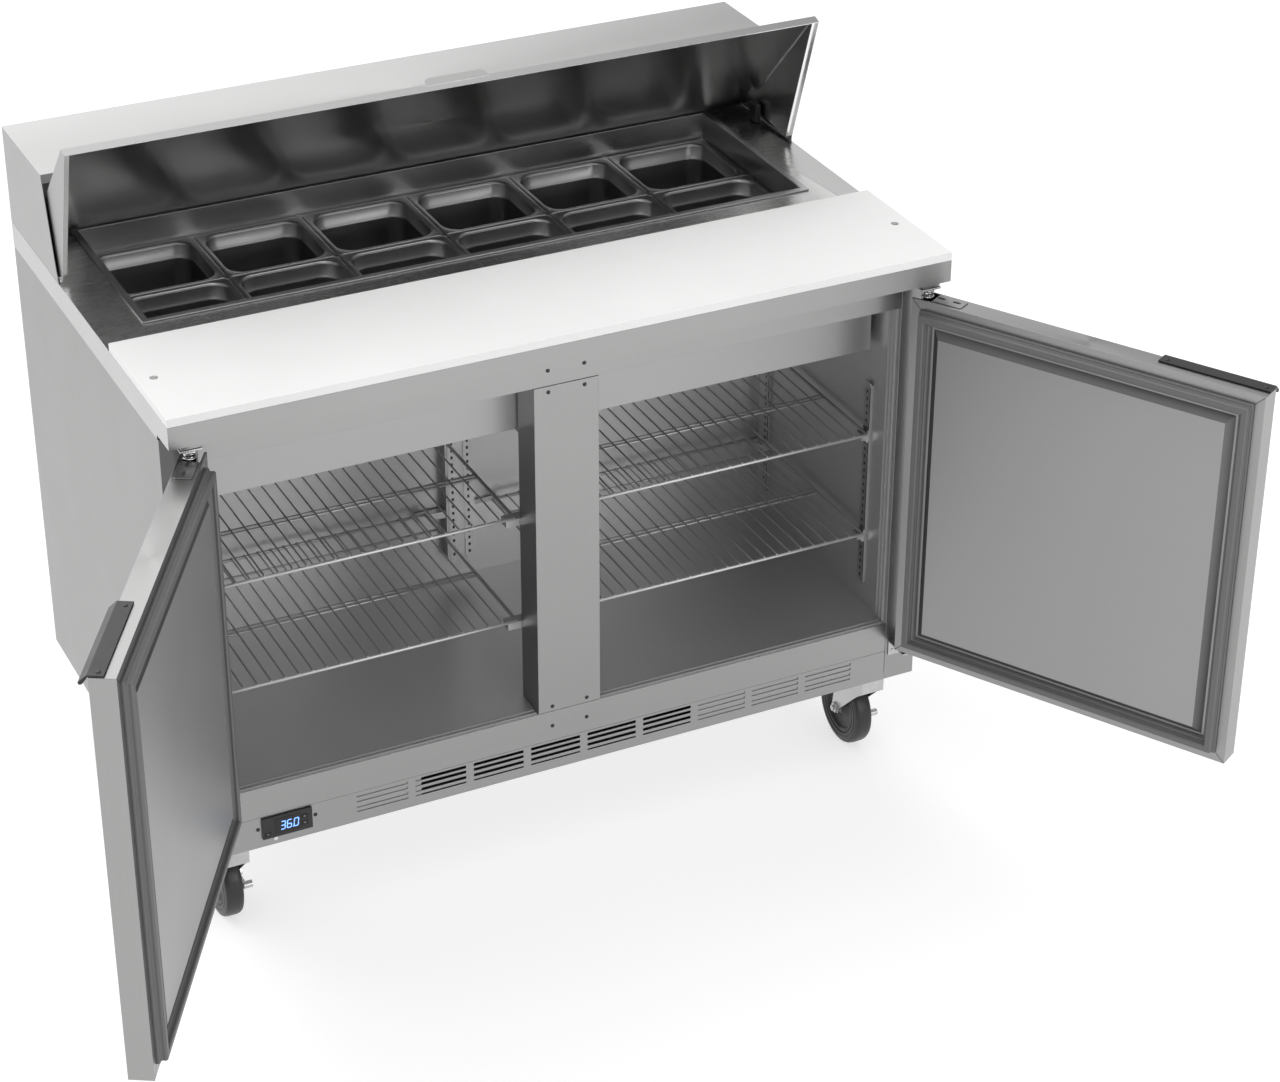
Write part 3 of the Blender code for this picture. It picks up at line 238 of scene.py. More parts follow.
def board_plastic(name):
    """White polyethylene with its matt pebble texture and a few faint knife marks."""
    look = Look(name, specular=0.35)
    pebble = look.noise(620.0, 2.0)
    clouds = look.noise(3.0, 3.0)
    cuts_a = look.noise(26.0, 1.0, stretch=(1.0, 22.0, 1.0))
    cuts_b = look.noise(21.0, 1.0, stretch=(24.0, 1.3, 1.0))
    cuts = look.total(look.remap(cuts_a, 0.0, 1.0, 0.70, 0.76), look.remap(cuts_b, 0.0, 1.0, 0.71, 0.77))
    look.colour(look.shade(look.remap(clouds, 0.0, 1.0), (0.80, 0.80, 0.795), (0.85, 0.85, 0.845)))
    look.rough(look.total(look.remap(pebble, 0.46, 0.58), look.remap(cuts, 0.0, 0.12, 0.0, 1.0)))
    look.relief(pebble, 0.00008, 0.5)
    look.relief(cuts, -0.00008, 0.5)
    return look.mat


def glowing(name, colour, strength):
    look = Look(name)
    fine = look.noise(1500.0, 1.0)
    look.colour(look.shade(look.remap(fine, 0.0, 1.0), (0.02, 0.04, 0.12), (0.03, 0.06, 0.16)))
    look.shader.inputs["Emission Color"].default_value = (*colour, 1.0)
    look.shader.inputs["Emission Strength"].default_value = strength
    look.shader.inputs["Roughness"].default_value = 0.4
    return look.mat


STEEL_FRONT = brushed("steel_front", 0.34, 0.30, "X")
STEEL_UPRIGHT = brushed("steel_upright", 0.33, 0.30, "Z")
STEEL_CASE = brushed("steel_case", 0.33, 0.34, "Z")
# the deck's steel is the front steel made lighter: painted light on the up-facing top
STEEL_DECK_PAINTED_LIGHT = brushed("steel_deck_painted_light", 0.50, 0.27, "X")
STEEL_HOOD = brushed("steel_hood", 0.39, 0.32, "X")
STEEL_LID = brushed("steel_lid", 0.88, 0.20, "X")
STEEL_PAN = polished("steel_pan", 0.29, 0.34, cloud=0.03, ripple=0.0)
STEEL_WELL = polished("steel_well", 0.46, 0.33, cloud=0.03, ripple=0.0)
LINER_CAVITY = coated("liner_cavity", 0.56, 0.36, metallic=0.75, grain=620.0, speckle=0.06, depth=0.00004)
LINER_DOOR = coated("liner_door", 0.34, 0.38, metallic=0.5, grain=900.0, speckle=0.03, depth=0.00005)
# the door liner made darker: painted shade on the bevels round the raised panel
LINER_SLOPE_PAINTED_SHADE = coated("liner_slope_painted_shade", 0.17, 0.50, metallic=0.9, grain=900.0, speckle=0.03, depth=0.00005)
COVER_GREY = coated("cover_grey", 0.36, 0.38, metallic=0.9, grain=700.0, speckle=0.04, depth=0.00006)
BOARD_WHITE = board_plastic("board_white")
PLUG_GREY = moulded("plug_grey", 0.34, 0.55)
BLACK_PLASTIC = moulded("black_plastic", 0.016, 0.42)
BLACK_RUBBER = moulded("black_rubber", 0.022, 0.38, 500.0)
BLACK_SCREW = moulded("black_screw", 0.012, 0.35, 1500.0)
SEAL_GREY = coated("seal_grey", 0.13, 0.50, grain=900.0, speckle=0.06, depth=0.00005)
STRIP_GREY = coated("strip_grey", 0.30, 0.42, grain=900.0, speckle=0.06, depth=0.00005)
WIRE_COAT = coated("wire_coat", 0.42, 0.34, metallic=0.6, grain=900.0, speckle=0.06, depth=0.00003)
# the wire coating made lighter: painted light on the shelves' front rails
RAIL_COAT_PAINTED_LIGHT = coated("rail_coat_painted_light", 0.55, 0.34, metallic=0.6, grain=900.0, speckle=0.06, depth=0.00003)
ZINC = polished("zinc_plate", 0.52, 0.30, cloud=0.16, ripple=0.0006)
CHROME = polished("chrome_plate", 0.66, 0.12, ripple=0.0003)
FINS = coated("fin_aluminium", 0.62, 0.38, metallic=1.0, grain=1200.0)
COMPRESSOR_BLACK = coated("compressor_black", 0.03, 0.40, grain=300.0, speckle=0.25)
# black for painted shade seen through slots and behind the grille, and for the dark mitre joints
SHADE_AND_JOINT_BLACK = coated("painted_shade_and_joint_black", 0.02, 0.70, grain=200.0, speckle=0.20)
SCREEN_BLACK = moulded("screen_black", 0.008, 0.12, 300.0)
DIGIT_BLUE = glowing("digit_blue", (0.16, 0.34, 1.0), 2.6)
MARK_GREY = moulded("mark_grey", 0.30, 0.50)


# ------------------------------------------------------------------ shape tools
def box(bm, x, y, z):
    """A box between pairs of limits."""
    centre = Vector((sum(x) / 2, sum(y) / 2, sum(z) / 2))
    size = Matrix.Diagonal((abs(x[1] - x[0]), abs(y[1] - y[0]), abs(z[1] - z[0]), 1.0))
    return bmesh.ops.create_cube(bm, size=1.0, matrix=Matrix.Translation(centre) @ size)["verts"]


TURN = {"X": Matrix.Rotation(math.radians(90), 4, "Y"),
        "Y": Matrix.Rotation(math.radians(-90), 4, "X"),
        "Z": Matrix.Identity(4)}


def lathe(bm, profile, centre, axis="Z", sides=28):
    """Turn a closed outline of (radius, height) about an axis through centre."""
    place = Matrix.Translation(Vector(centre)) @ TURN[axis]
    rings = []
    for radius, height in profile:
        if radius < 1e-6:
            rings.append([bm.verts.new(place @ Vector((0.0, 0.0, height)))])
            continue
        ring = []
        for i in range(sides):
            a = 2 * math.pi * i / sides
            ring.append(bm.verts.new(place @ Vector((radius * math.cos(a), radius * math.sin(a),
                                                     height))))
        rings.append(ring)
    pairs = list(zip(rings, rings[1:]))
    if len(rings[0]) > 1 and len(rings[-1]) > 1:
        pairs.append((rings[-1], rings[0]))
    for lower, upper in pairs:
        for i in range(sides):
            j = (i + 1) % sides
            if len(lower) == 1 and len(upper) == 1:
                continue
            if len(lower) == 1:
                bm.faces.new((lower[0], upper[j], upper[i]))
            elif len(upper) == 1:
                bm.faces.new((lower[i], lower[j], upper[0]))
            else:
                bm.faces.new((lower[i], lower[j], upper[j], upper[i]))


def rod(bm, start, end, radius, sides=8):
    """A straight round bar with domed ends."""
    start, end = Vector(start), Vector(end)
    along = (end - start).normalized()
    turn = Vector((0, 0, 1)).rotation_difference(along).to_matrix().to_4x4()
    length = (end - start).length
    bulge = radius * 0.6
    place = Matrix.Translation(start) @ turn
    rings = []
    for height, share in ((0.0, 0.55), (bulge, 1.0), (length - bulge, 1.0), (length, 0.55)):
        rings.append([bm.verts.new(place @ Vector((share * radius * math.cos(2 * math.pi * i / sides),
                                                   share * radius * math.sin(2 * math.pi * i / sides),
                                                   height))) for i in range(sides)])
    for lower, upper in zip(rings, rings[1:]):
        for i in range(sides):
            j = (i + 1) % sides
            bm.faces.new((lower[i], lower[j], upper[j], upper[i]))
    bm.faces.new(list(reversed(rings[0])))
    bm.faces.new(rings[-1])


def prism(bm, outline, start, end, plane="YZ"):
    """Extrude an outline.  plane "YZ" runs along X, "XZ" along Y and "XY" along Z."""
    def at(point, depth):
        u, v = point
        return {"YZ": (depth, u, v), "XZ": (u, depth, v), "XY": (u, v, depth)}[plane]
    first = [bm.verts.new(at(p, start)) for p in outline]
    last = [bm.verts.new(at(p, end)) for p in outline]
    faces = [bm.faces.new(list(reversed(first))), bm.faces.new(last)]
    for i in range(len(outline)):
        j = (i + 1) % len(outline)
        faces.append(bm.faces.new((first[i], first[j], last[j], last[i])))
    bmesh.ops.recalc_face_normals(bm, faces=faces)


def absorb(bm, part, matrix):
    """Move a finished bmesh into another one, and free it."""
    bmesh.ops.transform(part, matrix=matrix, verts=part.verts)
    mesh = bpy.data.meshes.new("scratch")
    part.to_mesh(mesh)
    part.free()
    bm.from_mesh(mesh)
    bpy.data.meshes.remove(mesh)


def shade_by_angle(mesh, degrees=32.0):
    mesh.shade_smooth()
    mesh.set_sharp_from_angle(angle=math.radians(degrees))


def piece(name, bm, look, body, bevel=0.0, segments=2, replaces=(), smooth=32.0,
          matrix=None):
    """Turn a bmesh into one named piece that rides on a body."""
    if matrix is not None:
        bmesh.ops.transform(bm, matrix=matrix, verts=bm.verts)
    bmesh.ops.recalc_face_normals(bm, faces=bm.faces)
    mesh = bpy.data.meshes.new(name)
    bm.to_mesh(mesh)
    bm.free()
    obj = bpy.data.objects.new(name, mesh)
    bpy.context.scene.collection.objects.link(obj)
    mesh.materials.append(look)
    comb(obj)
    shade_by_angle(mesh, smooth)
    if bevel:
        edge = obj.modifiers.new("soft_edges", "BEVEL")
        edge.width = bevel
        edge.segments = segments
        edge.limit_method = "ANGLE"
        edge.angle_limit = math.radians(28)
        edge.harden_normals = True
    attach(obj, body)
    if replaces:
        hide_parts(*replaces)
    return obj


def refined(node, look, bevel=0.0004, segments=2, extra=(), smooth=32.0):
    """Stand a clean copy of a CAD node in its place: flat faces joined and edges slightly rounded."""
    source = NODES[node]
    bm = bmesh.new()
    bm.from_mesh(source.data)
    bmesh.ops.remove_doubles(bm, verts=bm.verts, dist=0.00002)
    bmesh.ops.dissolve_limit(bm, angle_limit=math.radians(0.6), verts=bm.verts, edges=bm.edges)
    obj = piece("fine_" + node, bm, look, source["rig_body"], bevel=bevel, segments=segments,
                replaces=(node,), smooth=smooth)
    for other in extra:
        obj.data.materials.append(other)
    return obj


def comb(obj):
    """Give a piece UVs whose U runs across its brushing, so reflections stretch across the grain."""
    grain = GRAIN.get(obj.data.materials[0].name)
    if grain is None:
        return
    layer = obj.data.uv_layers.new(name="grain")
    for face in obj.data.polygons:
        across = face.normal.cross(grain)
        if across.length < 0.2:
            across = face.normal.cross(Vector((grain.y, grain.z, grain.x)))
        across.normalize()
        along = across.cross(face.normal)
        for index in face.loop_indices:
            place = obj.data.vertices[obj.data.loops[index].vertex_index].co
            layer.data[index].uv = (place.dot(across), place.dot(along))


def front(distance):
    return NOSE + distance


def door_axes(side):
    """The door's own axes in the open pose."""
    a = math.radians(side * DOOR_OPENING)
    return (Vector((math.cos(a), math.sin(a), 0.0)), Vector((-math.sin(a), math.cos(a), 0.0)),
            Vector((0.0, 0.0, 1.0)))


# ------------------------------------------------------------------ casing
refined("side_panel_left", STEEL_CASE, 0.0005)
refined("side_panel_right", STEEL_CASE, 0.0005)
refined("back_panel", STEEL_CASE, 0.0003)
refined("hood", STEEL_HOOD, 0.0005)
worktop = refined("worktop", STEEL_DECK_PAINTED_LIGHT, 0.0005, extra=(STEEL_FRONT,))
for face in worktop.data.polygons:          # the nose takes the front steel of the rails below it; the top keeps the lighter copy, painted light
    if face.normal.y < -0.5:
        face.material_index = 1
refined("top_rail", STEEL_FRONT, 0.0003)
refined("sill_rail", STEEL_FRONT, 0.0003)
refined("base_grille", STEEL_FRONT, 0.0003)
refined("mullion_cover", STEEL_UPRIGHT, 0.0005)
refined("bottom_pan", ZINC, 0.0003)
tub = refined("insulated_body", LINER_CAVITY, 0.0, extra=(STRIP_GREY,), smooth=1.0)
for face in tub.data.polygons:              # narrow edges take the grey of the breaker strips
    mullion_side = abs(face.center.x) < 0.060 and abs(face.normal.x) > 0.9
    on_mullion = abs(face.center.x) < 0.078 and NOSE + 0.112 < face.center.y < NOSE + 0.130
    pilaster_edge = (abs(face.center.x) > 0.540 and face.normal.y < -0.5
                     and face.center.y > NOSE + 0.1)
    if mullion_side or on_mullion or pilaster_edge:
        face.material_index = 1
refined("evaporator_cover", COVER_GREY, 0.0005)
refined("evaporator_coil", FINS, 0.0)
refined("compressor", COMPRESSOR_BLACK, 0.0)
refined("condenser", FINS, 0.0)
refined("condenser_fan", BLACK_PLASTIC, 0.0008)
refined("cutting_board", BOARD_WHITE, 0.0012, 3)
refined("pan_well", STEEL_WELL, 0.0006)
refined("pan_divider_grid", STEEL_PAN, 0.0012)
lid = refined("lid", STEEL_LID, 0.0004, extra=(STEEL_HOOD,))
refined("controller", BLACK_PLASTIC, 0.0010, 3)
for side, tag in SIDES:
    refined("hinge_bracket_" + tag, ZINC, 0.0006)
    refined("door_%s_skin" % tag, STEEL_UPRIGHT, 0.0008, 3)
    liner = refined("door_%s_liner" % tag, LINER_DOOR, 0.0012, 3, extra=(LINER_SLOPE_PAINTED_SHADE,))
    # faces off the door's own axes are the panel's bevels; they take the painted shade
    for face in liner.data.polygons:
        if max(abs(face.normal.dot(axis)) for axis in door_axes(side)) < 0.9:
            face.material_index = 1
    refined("door_%s_handle" % tag, BLACK_PLASTIC, 0.0006)


# ------------------------------------------------------------------ screws and rivets
def screw_head(bm, centre, axis, radius=0.0030, height=0.0011):
    """A round-headed screw whose head rises along +axis, with a cross recess."""
    profile = [(0.0, -0.0012), (radius * 0.6, -0.0012), (radius * 0.6, 0.0), (radius, 0.0),
               (radius * 0.93, height * 0.6), (radius * 0.6, height), (0.0, height)]
    lathe(bm, profile, centre, axis, 20)


def screws(name, places, axis, sign, look, body, radius=0.0030):
    bm = bmesh.new()
    for place in places:
        part = bmesh.new()
        screw_head(part, (0, 0, 0), "Z", radius)
        turn = TURN[axis]
        if sign < 0:
            turn = Matrix.Rotation(math.pi, 4, "X" if axis != "X" else "Y") @ turn
        absorb(bm, part, Matrix.Translation(Vector(place)) @ turn)
    return piece(name, bm, look, body)


rail_screws = []
for x in (-0.0288, 0.0288):
    rail_screws += [(x, FACE, 0.848), (x, COVER, 0.8135), (x, COVER, 0.275), (x, FACE, 0.239)]
screws("frame_screws", rail_screws, "Y", -1, BLACK_SCREW, "cabinet", 0.0032)
screws("controller_screws", [(-0.5074, FACE, 0.193), (-0.4170, FACE, 0.193)], "Y", -1, BLACK_SCREW,
       "cabinet", 0.0032)
screws("vent_rosette", [(-0.4806, FACE, 0.1695)], "Y", -1, CHROME, "cabinet", 0.0034)
back_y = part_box("back_panel")[1].y - 0.00106    # heads set flush, so they add nothing to the depth
screws("back_screws", [(x, back_y, z) for x in (-0.59, -0.30, 0.0, 0.30, 0.59) for z in (0.175, 0.52, 0.858)
                       if not (abs(x) < 0.5 and z == 0.52)], "Y", 1, CHROME, "cabinet", 0.0040)

# ------------------------------------------------------------------ food pans
PAN_RIM_HEIGHT = 0.0021                         # rolled rim over the surface it rests on
PAN_MOUTH_INSET = 0.0095                        # rim's edge to the mouth of the walls
PAN_BEND = 0.0105                               # radius of the rounded bottom edge
PAN_SHEET = 0.0009


def ring_of(half_x, half_y, radius, z, steps=7):
    """Points round a rectangle with rounded corners."""
    points = []
    for sx, sy, start in ((1, 1, 0), (-1, 1, 90), (-1, -1, 180), (1, -1, 270)):
        for step in range(steps + 1):
            a = math.radians(start + 90.0 * step / steps)
            points.append((sx * (half_x - radius) + radius * math.cos(a),
                           sy * (half_y - radius) + radius * math.sin(a), z))
    return points


def food_pan(node):
    """A drawn pan: rolled rim, stacking shoulder, tapered walls and a rounded bottom."""
    low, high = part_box(node)
    cx, cy = (low.x + high.x) / 2, (low.y + high.y) / 2
    hx, hy = (high.x - low.x) / 2, (high.y - low.y) / 2
    rest = high.z - PAN_RIM_HEIGHT
    mx, my = hx - PAN_MOUTH_INSET, hy - PAN_MOUTH_INSET
    foot = low.z
    sheet = PAN_SHEET
    loops = [ring_of(mx - 0.016, my - 0.016, 0.020, foot)]
    for turn in (20, 45, 70, 90):                       # outside, rounded bottom edge
        a = math.radians(turn)
        inset = 0.0042 + PAN_BEND * (1 - math.sin(a))
        loops.append(ring_of(mx + sheet - inset, my + sheet - inset, 0.026,
                             foot + PAN_BEND * (1 - math.cos(a))))
    loops.append(ring_of(mx + sheet - 0.0022, my + sheet - 0.0022, 0.028, rest - 0.0225))
    loops.append(ring_of(mx + sheet - 0.0002, my + sheet - 0.0002, 0.029, rest - 0.0190))
    loops.append(ring_of(mx + sheet, my + sheet, 0.029, rest - 0.0020))
    loops.append(ring_of(hx - 0.0009, hy - 0.0009, 0.0062, rest + 0.00005))
    loops.append(ring_of(hx, hy, 0.0066, rest + 0.0006))
    loops.append(ring_of(hx - 0.0002, hy - 0.0002, 0.0066, rest + 0.0015))
    loops.append(ring_of(hx - 0.0013, hy - 0.0013, 0.0070, rest + 0.0021))
    loops.append(ring_of(hx - 0.0040, hy - 0.0040, 0.0110, rest + 0.0019))
    loops.append(ring_of(mx + 0.0032, my + 0.0032, 0.0250, rest + 0.0016))
    loops.append(ring_of(mx + 0.0010, my + 0.0010, 0.0280, rest + 0.0006))
    loops.append(ring_of(mx, my, 0.0285, rest - 0.0022))
    loops.append(ring_of(mx - 0.0002, my - 0.0002, 0.0285, rest - 0.0186))
    loops.append(ring_of(mx - 0.0026, my - 0.0026, 0.0275, rest - 0.0212))
    loops.append(ring_of(mx - 0.0031, my - 0.0031, 0.0272, rest - 0.0240))
    for turn in (90, 70, 45, 20):                       # inside, rounded bottom edge
        a = math.radians(turn)
        inset = 0.0050 + PAN_BEND * (1 - math.sin(a))
        loops.append(ring_of(mx - inset, my - inset, 0.025,
                             foot + sheet + PAN_BEND * (1 - math.cos(a))))
    loops.append(ring_of(mx - 0.017, my - 0.017, 0.018, foot + sheet))
    bm = bmesh.new()
    rings = [[bm.verts.new((x + cx, y + cy, z)) for x, y, z in loop] for loop in loops]
    count = len(rings[0])
    for lower, upper in zip(rings, rings[1:]):
        for i in range(count):
            j = (i + 1) % count
            bm.faces.new((lower[i], lower[j], upper[j], upper[i]))
    bm.faces.new(list(reversed(rings[0])))
    bm.faces.new(rings[-1])
    piece("fine_" + node, bm, STEEL_PAN, "cabinet", replaces=(node,), smooth=50.0)


for row in ("front", "rear"):
    for column in range(1, 7):
        food_pan("pan_%s%d" % (row, column))


# ------------------------------------------------------------------ wire shelves
SHELF_WIRE, SHELF_BAR = 0.0014, 0.0027           # radii
SHELF_PITCH = 0.0213                            # between wires


def wire_shelf(node):
    """Coated wire shelf: a round rim, two cross bars and close wires that run front to back."""
    low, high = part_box(node)
    wire, bar = SHELF_WIRE, SHELF_BAR
    top = high.z - wire
    under = top - wire - bar + 0.0009
    bm = bmesh.new()
    for x in (low.x + bar, high.x - bar):
        rod(bm, (x, low.y + bar, under), (x, high.y - bar, under), bar, 10)
    for y in (low.y + bar, high.y - bar):
        rod(bm, (low.x + 0.001, y, under), (high.x - 0.001, y, under), bar, 10)
    middle = low.y + (0.152 if "lower" in node else 0.140)
    for y in (middle, middle + 0.010, high.y - 0.055):
        rod(bm, (low.x + bar, y, under), (high.x - bar, y, under), bar * 0.8, 8)
    inner = (high.x - low.x) - 4 * bar
    count = round(inner / SHELF_PITCH)
    for i in range(1, count):
        x = low.x + 2 * bar + inner * i / count
        rod(bm, (x, low.y + bar * 0.4, top), (x, high.y - bar * 0.4, top), wire, 7)
    shelf = piece("fine_" + node, bm, WIRE_COAT, "cabinet", replaces=(node,), smooth=60.0)
    shelf.data.materials.append(RAIL_COAT_PAINTED_LIGHT)
    # the front rail is painted lighter than the wires, for the light it catches
    for face in shelf.data.polygons:
        if face.center.y < low.y + 2 * bar:
            face.material_index = 1


for bay in ("left", "right"):
    for level in ("lower", "upper"):
        wire_shelf("shelf_%s_%s" % (bay, level))


# ------------------------------------------------------------------ shelf uprights and clips
def slotted_strip(bm, plane, centre, low, high, width, sign):
    """A thin upright with a column of short slots.  It faces sign along x or y."""
    across = [-width / 2, -0.0020, 0.0020, width / 2]
    heights = [low]
    z = low + 0.008
    while z + 0.012 < high:
        heights += [z, z + 0.0055]
        z += 0.0127
    heights.append(high)

    def at(u, z, depth):
        if plane == "X":
            return (centre[0] + sign * depth, centre[1] + u, z)
        return (centre[0] + u, centre[1] + sign * depth, z)

    for depth in (0.0006, 0.0):
        grid = [[bm.verts.new(at(u, z, depth)) for u in across] for z in heights]
        for row in range(len(heights) - 1):
            for column in range(3):
                if column == 1 and row % 2 == 1:
                    continue
                bm.faces.new((grid[row][column], grid[row][column + 1], grid[row + 1][column + 1],
                              grid[row + 1][column]))


cavity_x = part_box("shelf_right_lower")[1].x + 0.0075
strips = bmesh.new()
slot_shade_plates = bmesh.new()
caps = bmesh.new()
for side, _ in SIDES:
    for distance in PILASTER_DISTANCES:
        y = front(distance)
        face_x = side * (cavity_x - 0.0040 - 0.0006)
        slotted_strip(strips, "X", (face_x, y), STRIP_LOW, STRIP_HIGH, 0.0150, -side)
        # a black plate behind each column of slots: painted shade inside the upright
        box(slot_shade_plates, (face_x, face_x + side * 0.0003), (y - SLOT_PLATE_HALF, y + SLOT_PLATE_HALF),
            (STRIP_LOW + 0.003, STRIP_HIGH - 0.003))
        box(caps, (face_x - side * 0.0012, face_x + side * 0.0015), (y - 0.0082, y + 0.0082),
            (0.6600, 0.6665))
column_y = front(0.483 - 0.021)
for x in (-0.0135, 0.0135):
    slotted_strip(strips, "Y", (x, column_y - 0.0006), STRIP_LOW, STRIP_HIGH, 0.0150, -1)
    box(slot_shade_plates, (x - SLOT_PLATE_HALF, x + SLOT_PLATE_HALF), (column_y - 0.0006, column_y - 0.0003),
        (STRIP_LOW + 0.003, STRIP_HIGH - 0.003))
box(caps, (-0.0246, 0.0246), (column_y - 0.0014, column_y + 0.0205), (0.6605, 0.6665))
piece("pilaster_strips", strips, ZINC, "cabinet")
# the black plates behind the slots are painted shade
piece("pilaster_slot_shade", slot_shade_plates, SHADE_AND_JOINT_BLACK, "cabinet")
piece("pilaster_caps", caps, STRIP_GREY, "cabinet", bevel=0.0004)

clips = bmesh.new()
for level in ("lower", "upper"):
    shelf_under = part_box("shelf_right_" + level)[0].z
    z1 = shelf_under - 0.00005
    z0 = z1 - CLIP_DROP
    for side, _ in SIDES:
        for distance in PILASTER_DISTANCES:
            y = front(distance)
            outer = side * (cavity_x - 0.0038)
            inner = side * (cavity_x - 0.0174)
            prism(clips, [(outer, z0 - 0.004), (outer, z1 + 0.0046), (outer - side * 0.0022, z1 + 0.0046),
                          (outer - side * 0.0022, z1), (inner, z1), (inner, z1 - 0.0035),
                          (outer - side * 0.0040, z0 - 0.004)], y - 0.0075, y + 0.0075, "XZ")
piece("shelf_clips", clips, ZINC, "cabinet", bevel=0.0004)

# ------------------------------------------------------------------ breaker strips of the door openings
opening_z = (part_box("sill_rail")[1].z + 0.0010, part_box("top_rail")[0].z - 0.0005)
strip = bmesh.new()
for side, _ in SIDES:
    for offset in (0.0, 0.0095, 0.0190):
        y = front(0.0500 + offset)
        rod(strip, (side * (cavity_x - 0.0001), y + 0.004, opening_z[0] + 0.001),
            (side * (cavity_x - 0.0001), y + 0.004, opening_z[1] - 0.001), 0.0022, 8)
    inner = side * 0.0530
    outer = side * (cavity_x - 0.001)
    for offset in (0.0030, 0.0120):
        rod(strip, (inner, front(0.0500 + offset), opening_z[0] + 0.0002),
            (outer, front(0.0500 + offset), opening_z[0] + 0.0002), 0.0018, 8)
piece("opening_strips", strip, STRIP_GREY, "cabinet")

# ------------------------------------------------------------------ behind the grille
inside = bmesh.new()
for x0, x1 in ((-0.360, -0.246), (0.210, 0.312), (0.316, 0.500)):
    prism(inside, [(x0, front(0.0495)), (x0, front(0.0510)), (x1, front(0.0510)),
                   (x1, front(0.0495))], 0.166, 0.2100, "XY")
piece("grille_back_plates", inside, COVER_GREY, "cabinet", bevel=0.0003)
dark = bmesh.new()
box(dark, (-0.545, 0.545), (front(0.150), front(0.152)), (0.163, 0.2125))
piece("grille_shadow_plate", dark, SHADE_AND_JOINT_BLACK, "cabinet", bevel=0.0003)

# ------------------------------------------------------------------ worktop details
plugs = bmesh.new()
pin_x = HALF - 0.0245
board_mid = (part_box("cutting_board")[0].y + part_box("cutting_board")[1].y) / 2
board_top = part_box("cutting_board")[1].z
for side, _ in SIDES:
    lathe(plugs, [(0.0, 0.0), (0.0050, 0.0), (0.0050, 0.0002), (0.0042, 0.0005), (0.0, 0.0006)],
          (side * pin_x, board_mid, board_top - 0.00005), "Z", 24)
piece("board_plugs", plugs, PLUG_GREY, "cabinet")

# ------------------------------------------------------------------ lid details
lid_joint = JOINTS["lid_hinge"]
lid_frame = (Matrix.Translation(Vector(lid_joint["pos_m"]))
             @ Matrix.Rotation(math.radians(-lid_joint["range_deg"][1]), 4, "X"))
lid_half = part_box("lid")[1].x
LID_REACH, LID_FRONT, LID_TAIL = 0.2408, 0.0105, (0.03507, 0.13657)
lid_slope = (LID_TAIL[1] - LID_FRONT) / (LID_TAIL[0] + LID_REACH)


def lid_roof(y):
    """Height of the lid's outer face above the pivot, lid closed."""
    return LID_FRONT + lid_slope * (y + LID_REACH)


to_closed = lid_frame.inverted()
for face in lid.data.polygons:                  # the outside is plainer than the polished inside
    centre = to_closed @ face.center
    facing = to_closed.to_3x3() @ face.normal
    outer_side = abs(centre.x) > lid_half - 0.0004 and facing.x * centre.x > 0
    if facing.z > 0.3 or facing.y < -0.5 or outer_side:
        face.material_index = 1

hems = bmesh.new()
for side, _ in SIDES:
    x = side * (lid_half - 0.0012)
    # the side plate's folded lower edge
    prism(hems, [(x, 0.0), (x, 0.0006), (x - side * 0.0080, 0.0006), (x - side * 0.0080, 0.0)],
          -LID_REACH + 0.002, -0.006, "XZ")
sheet_drop = 0.0013 * math.hypot(1, lid_slope)
for side, _ in SIDES:
    # the corner fold between the roof and a side plate
    x = side * (lid_half - 0.0016)
    rod(hems, (x, -LID_REACH + 0.004, lid_roof(-LID_REACH + 0.004) - sheet_drop),
        (x, LID_TAIL[0] - 0.004, lid_roof(LID_TAIL[0] - 0.004) - sheet_drop), 0.0009, 8)
piece("lid_folds", hems, STEEL_LID, "lid", matrix=lid_frame)

pivots = bmesh.new()
for side, _ in SIDES:
    profile = [(0.0, 0.0), (0.0052, 0.0), (0.0052, 0.0009), (0.0036, 0.0021), (0.0, 0.0023)]
    base = bmesh.new()
    lathe(base, profile, (0, 0, 0), "X", 20)
    if side < 0:
        bmesh.ops.transform(base, matrix=Matrix.Rotation(math.pi, 4, "Z"), verts=base.verts)
    absorb(pivots, base, Matrix.Translation((side * lid_half, 0.0022, 0.0006)))
piece("lid_pivots", pivots, ZINC, "lid", matrix=lid_frame)

stops = bmesh.new()
for side, _ in SIDES:
    prism(stops, [(side * 0.5900, front(0.5880)), (side * 0.5900, front(0.6120)),
                  (side * 0.6000, front(0.6120)), (side * 0.6000, front(0.5880))],
          DECK + 0.0004, 0.9440, "XY")
piece("lid_stops", stops, BLACK_RUBBER, "cabinet", bevel=0.0022, segments=3)

# ------------------------------------------------------------------ doors
DOOR_WIDTH, DOOR_MARGIN = 0.5697, 0.0152
DOOR_OUTER, DOOR_INNER = -0.0147, 0.0207
GASKET_INSET = 0.0154
MITRE_SPAN, MITRE_HALF = (0.0008, 0.0150), 0.00035
door_z = (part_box("door_right_skin")[0].z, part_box("door_right_skin")[1].z)


def door_frame(side, tag):
    joint = JOINTS["door_%s_hinge" % tag]
    opened = math.radians(side * DOOR_OPENING)
    place = Vector(joint["pos_m"])
    place.z = 0.0
    return Matrix.Translation(place) @ Matrix.Rotation(opened, 4, "Z")


def door_x(side, s):
    """x in the door's own frame at a distance from its hinge-side edge."""
    return side * (DOOR_MARGIN - s)


